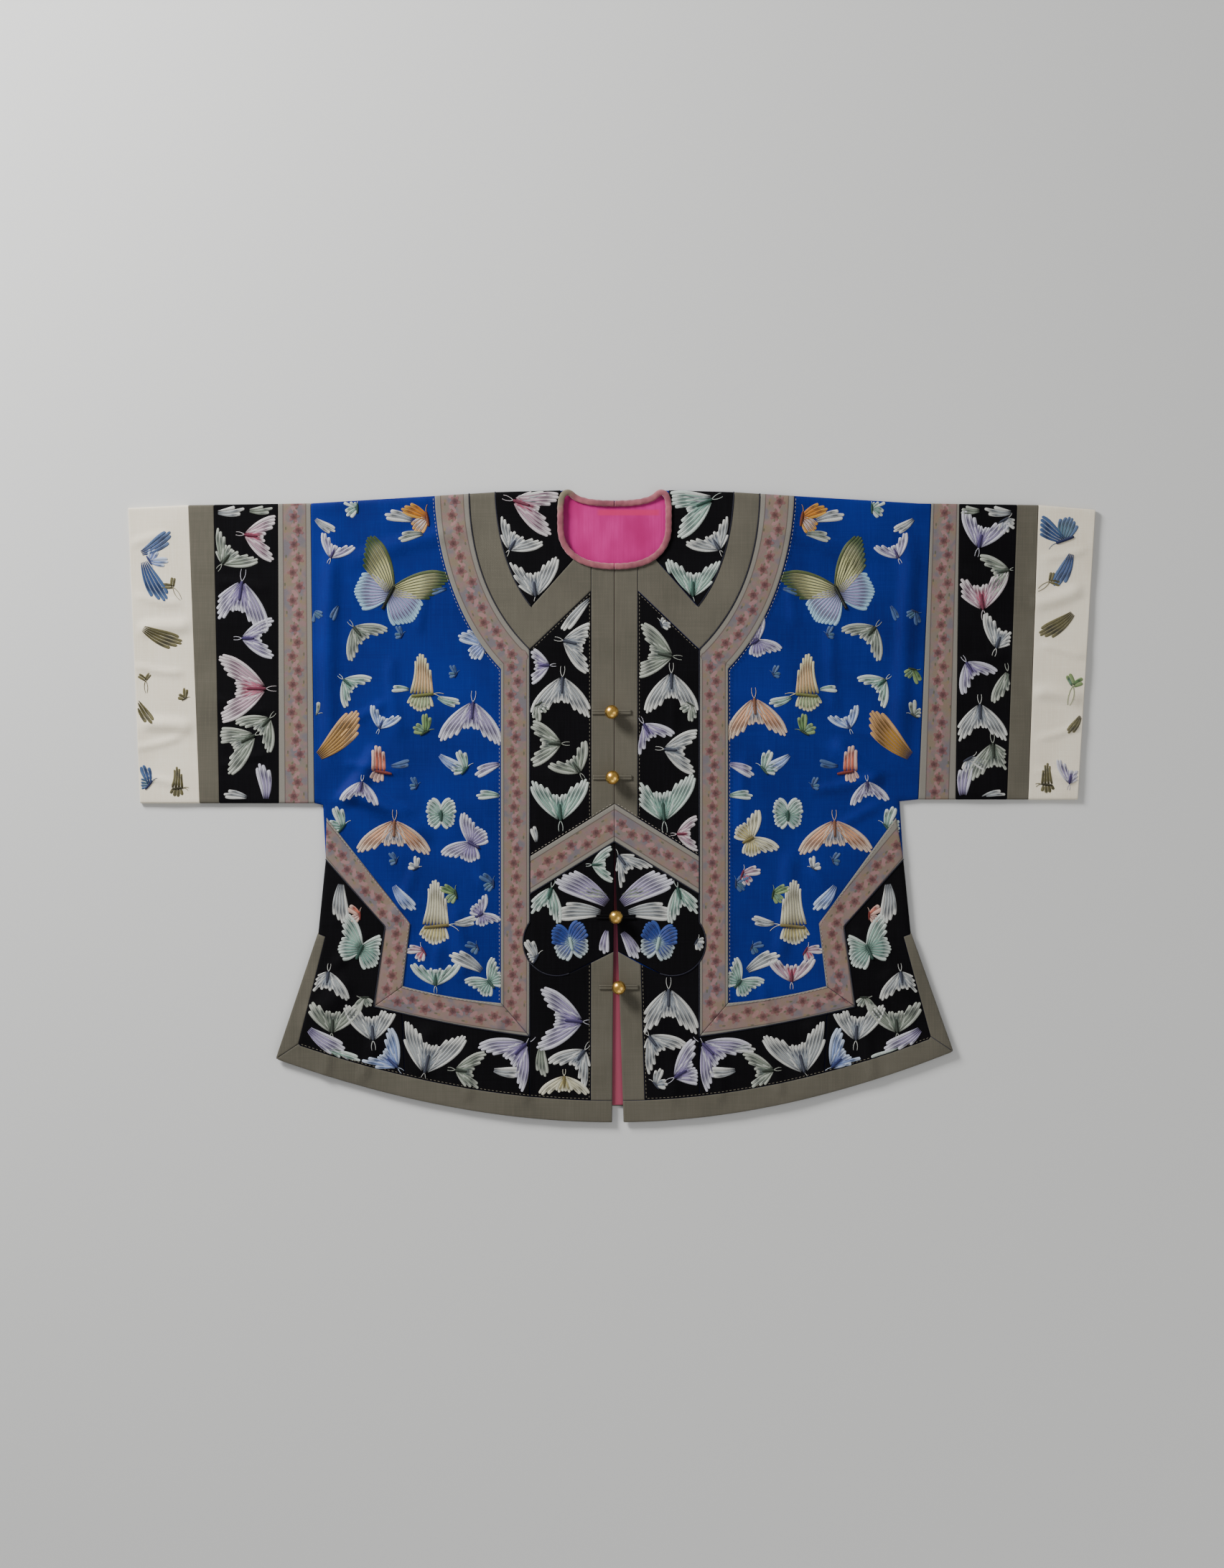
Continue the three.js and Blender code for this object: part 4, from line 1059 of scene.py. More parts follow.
@dataclass(frozen=True)
class LiningFinish:
    """Thin pink plain silk with a stitched facing line below the back neck."""

    name: str = "pink_lining_silk"
    bright: Colour = srgb(206, 48, 136)
    deep: Colour = srgb(172, 24, 102)
    red: Colour = srgb(206, 40, 96)
    shaded: Colour = srgb(146, 74, 82)
    shadow: Colour = srgb(74, 12, 36)
    glow: Colour = srgb(255, 170, 215)
    facing_at: float = 0.314
    threads: float = 1800.0

    def material(self) -> Material:
        """Makes the material.

        Returns:
            The material.
        """
        kit = NodeKit(self.name)
        x, y, _ = kit.split(kit.place())
        soft = kit.noise(kit.place((1.0, 0.5, 1.0)), 26.0, 3.0)
        threads = kit.noise(kit.place((1.0, 0.04, 1.0)), 640.0, 2.0)
        colour = kit.blend(kit.ease(soft, 0.3, 0.7), self.deep, self.bright)
        colour = kit.blend(kit.ease(threads, 0.4, 0.7, 0.0, 0.3), colour, self.deep)
        band = kit.ease(kit.sum("ABSOLUTE", kit.minus(y, self.facing_at)), 0.004, 0.002)
        centre = kit.ease(kit.sum("ABSOLUTE", kit.minus(x, 0.018)), 0.036, 0.030)
        colour = kit.blend(kit.times(kit.times(band, centre), 0.75), colour, self.red)
        colour = kit.blend(kit.ease(y, 0.02, -0.06, 0.0, 0.85), colour, self.shaded)
        narrow = kit.times(kit.ease(y, 0.02, -0.06, 0.0, 0.7), kit.ease(y, -0.2, -0.16))
        colour = kit.blend(narrow, colour, self.shadow)
        weave = kit.times(*(kit.sine(kit.times(way, self.threads * math.pi)) for way in (x, y)))
        normal = kit.bump(kit.plus(weave, threads), 0.00005)
        return kit.finish(
            colour, 0.46, normal, Sheen_Weight=0.15, Sheen_Roughness=0.3, Sheen_Tint=self.glow,
            Specular_IOR_Level=0.25,
        )


@dataclass(frozen=True)
class BrassFinish:
    """Gilt brass, polished by handling, with faint wear."""

    name: str = "gilt_ball"
    gold: Colour = srgb(240, 196, 104)
    worn: Colour = srgb(206, 150, 74)

    def material(self) -> Material:
        """Makes the material."""
        kit = NodeKit(self.name)
        wear = kit.noise(kit.place(), 420.0, 4.0)
        fine = kit.noise(kit.place(), 2600.0, 3.0)
        colour = kit.blend(kit.ease(wear, 0.45, 0.7), self.gold, self.worn)
        rough = kit.ease(wear, 0.3, 0.75, 0.2, 0.38)
        return kit.finish(colour, rough, kit.bump(fine, 0.00005), Metallic=1.0)


BLUE_SILK = SilkFinish(
    "blue_silk_satin", srgb(5, 22, 92), srgb(8, 33, 120), srgb(20, 60, 158), 0.56, 0.03, srgb(70, 120, 220),
    slub=0.14, specular=0.1,
)
BLACK_SATIN = SilkFinish(
    "black_silk_satin", srgb(10, 9, 11), srgb(15, 14, 16), srgb(26, 26, 30), 0.64, 0.01, srgb(90, 90, 110),
    slub=0.2, specular=0.035,
)
GREY_SILK = SilkFinish(
    "grey_plain_silk", srgb(80, 77, 67), srgb(97, 93, 82), srgb(124, 118, 104), 0.66, 0.06,
    srgb(190, 184, 168), 1500.0, 1500.0, 0.2, 0.00009, 0.12,
)
CREAM_SATIN = SilkFinish(
    "cream_silk_satin", srgb(222, 210, 186), srgb(240, 230, 208), srgb(250, 244, 228), 0.45, 0.15,
    srgb(255, 250, 235),
)
RIBBON_WEAVE = RibbonFinish()
NECK_BINDING = BindingFinish()
PINK_LINING = LiningFinish()
GILT_BRASS = BrassFinish()
SATIN_STITCH = ThreadFinish()
FINISH_OF_KIND = {StripKind.BLACK: BLACK_SATIN, StripKind.GREY: GREY_SILK, StripKind.RIBBON: RIBBON_WEAVE}


@cache
def material_of(finish: object) -> Material:
    """Gives a finish's material, made once."""
    return finish.material()


def add_piece(name: str, points: Array, faces: Sequence, finish: object) -> Piece:
    """Makes a piece of the jacket from a mesh in millimetres.

    Args:
        name: The piece's name.
        points: One row for each vertex.
        faces: The vertex numbers of each face.
        finish: What it is finished with.

    Returns:
        The piece, riding on the jacket's one body.
    """
    mesh = bpy.data.meshes.new(name)
    mesh.from_pydata((points * MM).tolist(), [], faces)
    mesh.polygons.foreach_set("use_smooth", [True] * len(mesh.polygons))
    mesh.materials.append(material_of(finish))
    piece = bpy.data.objects.new(name, mesh)
    bpy.context.scene.collection.objects.link(piece)
    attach(piece, "root")
    log.info("%s: %d faces", name, len(faces))
    return piece


def add_cloth(node: str, points: Array, faces: Sequence, finish: object) -> Piece:
    """Makes the cloth that stands for one of the frame's nodes."""
    piece = add_piece(f"{node}_cloth", points, faces, finish)
    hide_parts(node)
    return piece


def set_run(piece: Piece, points: Array, middle: Array) -> None:
    """Stores how far along and across its middle line each vertex of a piece is."""
    along, across = run_coordinates(points, middle)
    set_attribute(piece, "run", np.column_stack([along, across, np.zeros(len(along))]))


def set_attribute(piece: Piece, name: str, values: Array, kind: str = "FLOAT_VECTOR") -> None:
    """Stores a vector or colour for each vertex of a piece."""
    made = piece.data.attributes.new(name, kind, "POINT")
    made.data.foreach_set(
        "color" if kind == "FLOAT_COLOR" else "vector", np.ascontiguousarray(values).ravel(),
    )


@dataclass(frozen=True)
class Tailor:
    """Makes closed cloth shells from outlines on the plan.

    Attributes:
        cell: Spacing of the points inside a shell.
        rim: Radius of a shell's rounded upper edge.
        rings: Distances of the rings of points behind the edge.
        row_share: Spacing of the rows inside a shell, as a share of that of their points.
        clear: Share of a cell that the inner points keep from the last ring.
        weld: Distance below which points are one.
        edge: How far the upper edge stays above the rounding's end.
    """

    cell: float = 3.7
    rim: float = 0.9
    rings: tuple[float, ...] = (0.1, 0.4, 0.9, 2.2)
    row_share: float = 0.87
    clear: float = 0.4
    weld: float = 1e-4
    edge: float = 0.15

    def triangles(self, outline: Array) -> tuple[Array, Array]:
        """Fills an outline with triangles.

        Args:
            outline: The edge on the plan, anticlockwise.

        Returns:
            The points, and three point numbers for each triangle, anticlockwise.
        """
        loop = resample(outline, self.cell)
        extra = []
        for ring in self.rings:
            moved = inset(loop, ring)
            extra.append(moved[inside(moved, loop) & (edge_distance(moved, loop) > 0.85 * ring)])
        low, high = loop.min(axis=0), loop.max(axis=0)
        ys = np.arange(low[1], high[1], self.cell * self.row_share)
        xs = np.arange(low[0], high[0], self.cell)
        field_x, field_y = np.meshgrid(xs, ys)
        field_x[1::2] += self.cell / 2
        grid = np.column_stack([field_x.ravel(), field_y.ravel()])
        grid = grid[inside(grid, loop)]
        grid = grid[edge_distance(grid, loop) > self.rings[-1] + self.clear * self.cell]
        points = np.vstack([loop, *extra, grid])
        border = [list(range(len(loop)))]
        found = delaunay_2d_cdt([Vector(p) for p in points], [], border, 1, self.weld)
        places = np.array([tuple(p) for p in found[0]])
        faces = np.array([face for face in found[2] if len(face) == 3])
        a, b, c = places[faces[:, 0]], places[faces[:, 1]], places[faces[:, 2]]
        turn = (b[:, 0] - a[:, 0]) * (c[:, 1] - a[:, 1]) - (b[:, 1] - a[:, 1]) * (c[:, 0] - a[:, 0])
        faces[turn < 0] = faces[turn < 0][:, ::-1]
        return places, faces

    def shell(
        self, outline: Array, layer: Point, follows: bool = True,
    ) -> tuple[Array, list[list[int]], Array]:
        """Makes a closed shell over an outline.

        Args:
            outline: The edge on the plan.
            layer: The heights of its underside and its top.
            follows: Whether it follows the relief.

        Returns:
            The vertices, the faces, and each vertex's place on the plan.
        """
        edge = inset(outline, SEAM_GAP / 2)
        plan, faces = self.triangles(edge)
        lift = RELIEF.height(plan) if follows else np.zeros(len(plan))
        share = np.clip(1 - edge_distance(plan, edge) / self.rim, 0, 1)
        rounding = (self.rim - self.edge) * (1 - np.sqrt(np.maximum(1 - share**2, 0)))
        top = np.column_stack([plan, layer[1] + lift - rounding])
        under = np.column_stack([plan, layer[0] + lift])
        count = len(plan)
        sides = set()
        for a, b, c in faces.tolist():
            sides.update(((a, b), (b, c), (c, a)))
        walls = [[a, a + count, b + count, b] for a, b in sorted(sides) if (b, a) not in sides]
        below = (faces[:, ::-1] + count).tolist()
        return np.vstack([top, under]), faces.tolist() + below + walls, np.vstack([plan, plan])

    def strip(self, name: str, side: Side, cut: StripCut) -> Piece:
        """Makes one strip of the front, with its run coordinates where it has a middle line.

        Args:
            name: The frame's node that it stands for.
            side: The half of the jacket.
            cut: The strip's cut.

        Returns:
            The piece.
        """
        layer = RIBBON_LAYER if cut.kind is StripKind.RIBBON else STRIP_LAYER
        outline = side.plan(cut.outline)
        points, faces, plan = self.shell(outline, layer)
        piece = add_cloth(name, points, faces, FINISH_OF_KIND[cut.kind])
        if cut.middle is None:
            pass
        else:
            middle = side.plan(cut.middle)
            set_run(piece, plan, middle)
            length = run_length(middle)
        return piece


@dataclass(frozen=True)
class Back:
    """The back body, its border and binding, and the lining where it shows.

    Attributes:
        tailor: What makes their shells.
        slender: Share of its box below which a cut's length is worked out as that of a strip of the same
            area.
        beyond: Points at each end of the hem's curve that lie beyond the slit.
    """

    tailor: Tailor = field(default_factory=lambda: Tailor(cell=7.0))
    slender: float = 0.32
    beyond: int = 4

    def hem(self, rise: float) -> Array:
        """Gives the back's hem from the left corner to the right one, raised by a distance.

        Args:
            rise: How far up.

        Returns:
            The line on the plan.
        """
        halves = []
        for side in (LEFT, RIGHT):
            curve = side.hem()
            lifted = curve + np.column_stack([
                np.zeros(len(curve)), rise + BACK_HEM_RISE * (1 - (curve[:, 0] / HEM_CORNER) ** 2),
            ])
            halves.append(side.plan(lifted))
        return rows(halves[0][::-1], halves[1][1:])[self.beyond:-self.beyond]

    def flank(self, side: Side) -> Array:
        """Gives one side of the back from the neck to the top of the border at the slit.

        Args:
            side: The half.

        Returns:
            The line on the plan.
        """
        outline = rows(
            side.fold(), side.side_seam()[:-2], (SLIT_TOP[0] - BACK_SHY, SLIT_TOP[1]),
            side.slit_edge(BACK_BORDER),
        )
        return side.plan(outline)

    def body(self) -> Array:
        """Gives the outline of the blue back."""
        return rows(
            back_neckline(0), self.flank(RIGHT), self.hem(BACK_BORDER)[::-1], self.flank(LEFT)[::-1],
        )

    def strip(self, low: float, high: float) -> Array:
        """Gives the outline of a strip along the back's hem between two heights.

        Args:
            low: Its lower height.
            high: Its upper height.

        Returns:
            The outline on the plan.
        """
        def end(side: Side, rise: float) -> Array:
            """Gives a strip's end on the slit."""
            return side.plan(rows(side.slit_edge(rise)))

        return rows(
            end(LEFT, low), self.hem(low), end(RIGHT, low), end(RIGHT, high), self.hem(high)[::-1],
            end(LEFT, high),
        )

    def lining(self) -> Array:
        """Gives the outline of the lining in the neck and behind the opening.

        Returns:
            The outline on the plan.
        """
        foot = HEM + BACK_HEM_RISE + 1
        corners = [
            (LINING_NECK_HALF, LINING_NECK_TOP), (LINING_NECK_HALF, LINING_SHELF),
            (LINING_STRIP, LINING_SHELF), (LINING_STRIP, foot), (-LINING_STRIP, foot),
            (-LINING_STRIP, LINING_SHELF), (-LINING_NECK_HALF, LINING_SHELF),
            (-LINING_NECK_HALF, LINING_NECK_TOP),
        ]
        return rows(back_neckline(LINING_LOWER), np.array(corners) + (OPENING_X, 0))

    def build(self) -> None:
        """Makes the four pieces."""
        cuts = (
            ("back_body", self.body(), BACK_LAYER, BLUE_SILK, "blue_silk"),
            ("back_border", self.strip(HEM_BINDING, BACK_BORDER), BACK_LAYER, BLACK_SATIN, "black_satin"),
            ("back_binding", self.strip(0, HEM_BINDING), BACK_LAYER, GREY_SILK, "grey_silk"),
            ("lining_back", self.lining(), LINING_LAYER, PINK_LINING, "pink_lining"),
        )
        for name, outline, layer, finish, slot in cuts:
            points, faces, _ = self.tailor.shell(outline, layer, follows=False)
            piece = add_cloth(name, points, faces, finish)
            area = abs(area_of(outline))
            width, length = np.ptp(outline, axis=0)
            if area < self.slender * width * length:
                length = area / (0.98 * width)


@dataclass(frozen=True)
class SleeveBand:
    """One band of a sleeve: a flattened tube with a rounded fold above and a rounded seam below."""

    name: str
    side: Side
    start: Point
    end: Point
    finish: object
    slot: str
    step: float = 3.4
    turn: int = 8
    rim: float = 0.5

    def columns(self) -> Array:
        """Gives the band's sections as distances from its inner edge, close together at both edges."""
        width = min(self.end[0] - self.start[0], self.end[1] - self.start[1]) - SEAM_GAP
        inner = np.linspace(self.rim * 3, width - self.rim * 3, max(3, round(width / self.step)))
        edge = np.array([0, 0.12, 0.5, 1.0]) * self.rim
        return np.r_[edge, inner, (width - edge)[::-1]] / width

    def ring(self, share: float, shrink: float, wall: float) -> Array:
        """Gives one section of the tube.

        Args:
            share: How far along the band, from 0 to 1.
            shrink: How much the section draws in at a rounded edge.
            wall: How far in from the outside.

        Returns:
            The section's points, over the front, round the fold, and back underneath.
        """
        half = GROUND_LAYER[1] / 2
        radius = half - wall - shrink
        gap = SEAM_GAP / 2
        fold_u = self.start[0] + gap + (self.end[0] - self.start[0] - 2 * gap) * share
        seam_u = self.start[1] + gap + (self.end[1] - self.start[1] - 2 * gap) * share
        fold_v, seam_v = self.side.shoulder(fold_u), self.side.sleeve_seam
        count = round((self.side.shoulder(self.start[0]) - seam_v) / self.step)
        front = np.linspace(seam_v + half, fold_v - half, count)
        arc = np.linspace(math.pi / 2, -math.pi / 2, self.turn + 1)[1:-1]
        v = np.r_[
            front, fold_v - half + radius * np.cos(arc), front[::-1], seam_v + half - radius * np.cos(arc),
        ]
        z = np.r_[
            np.full(count, half + radius), half + radius * np.sin(arc), np.full(count, half - radius),
            half - radius * np.sin(arc),
        ]
        along = (v - seam_v) / (fold_v - seam_v)
        x = OPENING_X + self.side.sign * (seam_u + (fold_u - seam_u) * along)
        lift = np.where(z > half, RELIEF.swell(np.column_stack([x, v])), 0)
        return np.column_stack([x, v, z + lift])

    def build(self) -> None:
        """Makes the band."""
        shares = self.columns()
        width = min(self.end[0] - self.start[0], self.end[1] - self.start[1])
        reach = np.minimum(shares, 1 - shares) * width
        bite = np.clip(1 - reach / self.rim, 0, 1)
        shrink = self.rim * 0.8 * (1 - np.sqrt(1 - bite**2))
        outer = [self.ring(s, d, 0.0) for s, d in zip(shares, shrink)]
        inner = [self.ring(s, 0.0, SLEEVE_WALL) for s in shares]
        count = len(outer[0])
        sections = len(outer)
        points = np.vstack(outer + inner)
        faces: list[list[int]] = []

        def at(section: int, place: int, within: bool) -> int:
            """Gives a vertex number."""
            return (sections * count if within else 0) + section * count + place % count

        def quad(a: int, b: int, c: int, d: int) -> None:
            """Adds a face, turned out on either side."""
            faces.append([a, b, c, d] if self.side.sign > 0 else [d, c, b, a])

        for s in range(sections - 1):
            for i in range(count):
                quad(at(s, i, False), at(s + 1, i, False), at(s + 1, i + 1, False), at(s, i + 1, False))
                quad(at(s, i, True), at(s, i + 1, True), at(s + 1, i + 1, True), at(s + 1, i, True))
        last = sections - 1
        for i in range(count):
            quad(at(0, i, False), at(0, i + 1, False), at(0, i + 1, True), at(0, i, True))
            quad(at(last, i + 1, False), at(last, i, False), at(last, i, True), at(last, i + 1, True))
        piece = add_cloth(f"sleeve_{self.name}_{self.side.name}", points, faces, self.finish)
        middle = self.side.plan(
            rows(
                ((self.start[1] + self.end[1]) / 2, self.side.sleeve_seam),
                ((self.start[0] + self.end[0]) / 2, self.side.shoulder(self.start[0])),
            )
        )
        set_run(piece, points[:, :2], middle)
        depth = run_length(middle)


@dataclass(frozen=True)
class Wing:
    """One wing, stitched in lobes side by side. Lengths are shares of the motif's span.

    Attributes:
        heading: Its direction in degrees from the motif's turn.
        length: Its length.
        half: Its half width near the tip.
        root: Its half width at the root, as a share of that near the tip.
        bend: How many degrees it turns from root to tip.
        short: Length of its shortest lobe, as a share of the longest.
        peak: Where its longest lobe lies, from 0 at its leading edge to 1.
        lead: 1 where its leading edge faces away from the turn, else -1.
        hind: Whether it takes the hind wings' silks.
    """

    heading: float
    length: float
    half: float
    root: float = 0.45
    bend: float = 0.0
    short: float = 0.6
    peak: float = 0.0
    lead: int = 1
    hind: bool = False


@dataclass(frozen=True)
class Shape:
    """What a motif is made of.

    Attributes:
        wings: Its wings, those below first.
        paired: Whether each wing has its mirror image.
        body: The body's direction, start and end.
        feelers: Directions of its feelers, which start at the body's start.
    """

    wings: tuple[Wing, ...]
    paired: bool
    body: tuple[float, float, float]
    feelers: tuple[float, ...] = ()


class Motif(Enum):
    """The embroidered motifs."""

    VEE = Shape(
        (Wing(13, 0.54, 0.16, 0.5, -8, 0.76, 0.45, hind=True), Wing(38, 1.0, 0.185, 0.36, -22, 0.66, 0.3)),
        True, (0, -0.05, 0.3), (150, -150),
    )
    OPEN = Shape(
        (Wing(114, 0.52, 0.27, 0.3, 6, 0.76, 0.5, hind=True), Wing(50, 0.84, 0.21, 0.3, 16, 0.6, 0.25, -1)),
        True, (180, -0.1, 0.26), (24, -24),
    )
    RING = Shape(
        (
            Wing(132, 0.46, 0.24, 0.3, -14, 0.76, 0.5, hind=True),
            Wing(46, 0.52, 0.25, 0.3, 14, 0.74, 0.4, -1),
        ),
        True, (180, -0.12, 0.2), (30, -30),
    )
    CLOSED = Shape(
        (Wing(172, 0.36, 0.3, 0.7, 0, 0.5, 0.5, hind=True), Wing(-4, 0.9, 0.18, 1.5, 8, 0.52, 0.4)), False,
        (96, -0.25, 0.22), (-100, -70),
    )
    BUD = Shape(
        (Wing(165, 0.34, 0.22, 0.7, 0, 0.6, 0.5, hind=True), Wing(0, 0.8, 0.2, 1.1, 8, 0.6, 0.45)), False,
        (80, -0.4, 0.1),
    )
    SIDE = Shape(
        (Wing(64, 0.6, 0.26, 0.35, 14, 0.7, 0.5, hind=True), Wing(-8, 0.88, 0.23, 0.35, 20, 0.62, 0.35)),
        False, (120, -0.2, 0.26), (-60,),
    )
    WING = Shape((Wing(0, 1.0, 0.2, 0.35, 22, 0.66, 0.4),), False, (0, 0, 0))
    SPRIG = Shape(
        (Wing(40, 0.36, 0.1, 0.7, 20, 0.8, 0.5), Wing(-40, 0.32, 0.09, 0.7, -20, 0.8, 0.5, hind=True)),
        False, (0, 0, 0), (150, -164),
    )


@dataclass(frozen=True)
class Palette:
    """The silks of a motif, as linear colours."""

    edge: Colour
    field: Colour
    hind: Colour
    body: Colour
    hind_edge: Colour | None = None


def palette(*triples: tuple[float, float, float]) -> Palette:
    """Makes a palette from sRGB triples, in the order of its attributes."""
    return Palette(*(srgb(*triple) for triple in triples))


class Silks(Enum):
    """The embroiderer's sets of silks."""

    MINT = palette((206, 216, 208), (128, 166, 150), (104, 150, 136), (44, 76, 66))
    LILAC = palette((210, 208, 218), (146, 134, 172), (124, 106, 164), (62, 50, 96))
    WHITE = palette((214, 214, 208), (150, 156, 160), (132, 142, 156), (58, 62, 76))
    ROSE = palette((218, 208, 210), (178, 138, 156), (190, 72, 104), (110, 40, 62))
    MIST = palette((182, 186, 174), (118, 128, 114), (98, 112, 100), (48, 56, 46))
    SKY = palette((196, 208, 228), (126, 150, 206), (104, 124, 190), (44, 54, 104))
    BLUE = palette((58, 84, 158), (40, 60, 136), (46, 66, 140), (168, 196, 190), (190, 204, 206))
    CREAM = palette((222, 218, 196), (208, 202, 168), (196, 182, 116), (120, 108, 64))
    LEMON = palette((216, 208, 168), (206, 162, 116), (150, 172, 130), (110, 112, 60))
    PEACH = palette((214, 190, 168), (216, 154, 110), (168, 178, 196), (126, 84, 62))
    OCHRE = palette((198, 156, 104), (158, 116, 34), (112, 110, 46), (84, 66, 26))
    CORAL = palette((220, 184, 168), (214, 104, 78), (200, 166, 158), (120, 50, 44))
    ORANGE = palette((204, 150, 58), (196, 116, 30), (196, 186, 190), (116, 58, 26))
    LEAF = palette((136, 158, 104), (88, 122, 74), (116, 150, 130), (40, 60, 34))
    GREAT = palette((60, 78, 40), (210, 206, 146), (158, 142, 188), (22, 28, 16), (160, 198, 220))
    OLIVE = palette((114, 108, 74), (92, 86, 54), (98, 92, 62), (56, 52, 32))
    SLATE = palette((78, 104, 146), (56, 80, 128), (84, 118, 132), (36, 44, 84))


@dataclass(frozen=True)
class Stitched:
    """A motif's place on one half of the jacket.

    Attributes:
        motif: Which motif.
        u: Its distance out from the opening.
        v: Its height.
        span: Its size.
        turn: The way that it opens, in degrees from the collar outwards.
        silks: Its colours.
        extra: Degrees added to the spread of its wings.
        halves: On which halves it is: "both", "left" or "right".
    """

    motif: Motif
    u: float
    v: float
    span: float
    turn: float
    silks: Silks
    extra: float = 0.0
    halves: str = "both"


def placed(*table: tuple) -> tuple[Stitched, ...]:
    """Places motifs from rows of motif, u, v, span, turn, silks, extra spread and halves."""
    return tuple(Stitched(*row) for row in table)


VEE, OPEN, RING, CLOSED, BUD, SIDE, WING, SPRIG = Motif
(
    MINT, LILAC, WHITE, ROSE, MIST, SKY, BLUE, CREAM, LEMON, PEACH, OCHRE, CORAL, ORANGE, LEAF, GREAT,
    OLIVE, SLATE,
) = Silks

ON_BLUE = placed(
    (SIDE, 276, 319, 24, 60, MINT), (WING, 321, 307, 26, -128, WHITE), (VEE, 304, 266, 28, -24, LILAC, 6),
    (OPEN, 240, 228, 76, -27, GREAT), (SIDE, 201, 308, 34, 70, ORANGE), (WING, 216, 305, 32, 72, WHITE),
    (WING, 205, 291, 28, 96, MIST), (VEE, 279, 190, 36, -140, MIST, 10), (VEE, 290, 134, 30, -132, MINT, 8),
    (CLOSED, 207, 118, 50, 0, LEMON), (WING, 220, 124, 20, 84, MINT), (WING, 190, 116, 26, -112, MINT),
    (VEE, 252, 83, 26, -22, SKY, 4), (WING, 318, 52, 66, -49, OCHRE), (SIDE, 203, 78, 24, 0, LEAF),
    (BUD, 253, 36, 36, 0, CORAL), (WING, 240, 42, 22, -84, SLATE), (WING, 188, 54, 30, -128, SKY),
    (VEE, 271, 24, 30, 172, LILAC, 6), (RING, 186, -10, 38, 0, MINT),
    (VEE, 152, 108, 52, 176, LILAC, 2, "left"), (VEE, 150, 112, 50, 176, PEACH, 2, "right"),
    (SIDE, 160, 38, 26, 20, MINT), (WING, 123, 44, 30, 108, LILAC), (WING, 123, 10, 26, 84, MINT),
    (SIDE, 140, 172, 34, 70, SKY, 0, "left"), (OPEN, 152, 176, 34, 60, LILAC, 0, "right"),
    (VEE, 236, -19, 50, 178, PEACH, 14), (OPEN, 154, -41, 40, 62, LILAC, 0, "left"),
    (OPEN, 146, -36, 38, 62, CREAM, 0, "right"), (SIDE, 213, -68, 16, 0, WHITE),
    (CLOSED, 192, -130, 56, 0, CREAM), (WING, 172, -127, 26, -84, WHITE),
    (OPEN, 143, -117, 26, -60, LILAC, 0, "left"), (SIDE, 137, -74, 24, 80, ROSE, 0, "right"),
    (WING, 237, -86, 36, -146, SKY), (SIDE, 170, -95, 22, 70, LEAF), (SIDE, 205, -156, 22, 90, ROSE),
    (VEE, 192, -192, 34, 0, MINT, 14, "left"), (VEE, 190, -188, 34, 0, ROSE, 10, "right"),
    (OPEN, 134, -190, 32, 40, MINT), (WING, 142, -178, 40, 56, WHITE), (SIDE, 147, -152, 16, 80, SLATE),
    (SIDE, 130, -84, 20, 60, SLATE), (SIDE, 292, -24, 28, 20, MINT), (SIDE, 234, -60, 14, 40, SLATE),
    (WING, 180, 232, 18, 100, SLATE), (SIDE, 322, 208, 18, 170, SLATE),
    (SIDE, 320, 146, 20, 160, LEAF, 0, "right"), (SIDE, 321, 96, 20, 0, MIST),
    (WING, 296, 214, 18, 150, SLATE), (SIDE, 228, 182, 14, 30, SLATE), (SIDE, 170, 140, 14, 30, SLATE),
    (SIDE, 212, 20, 14, 30, SLATE),
)
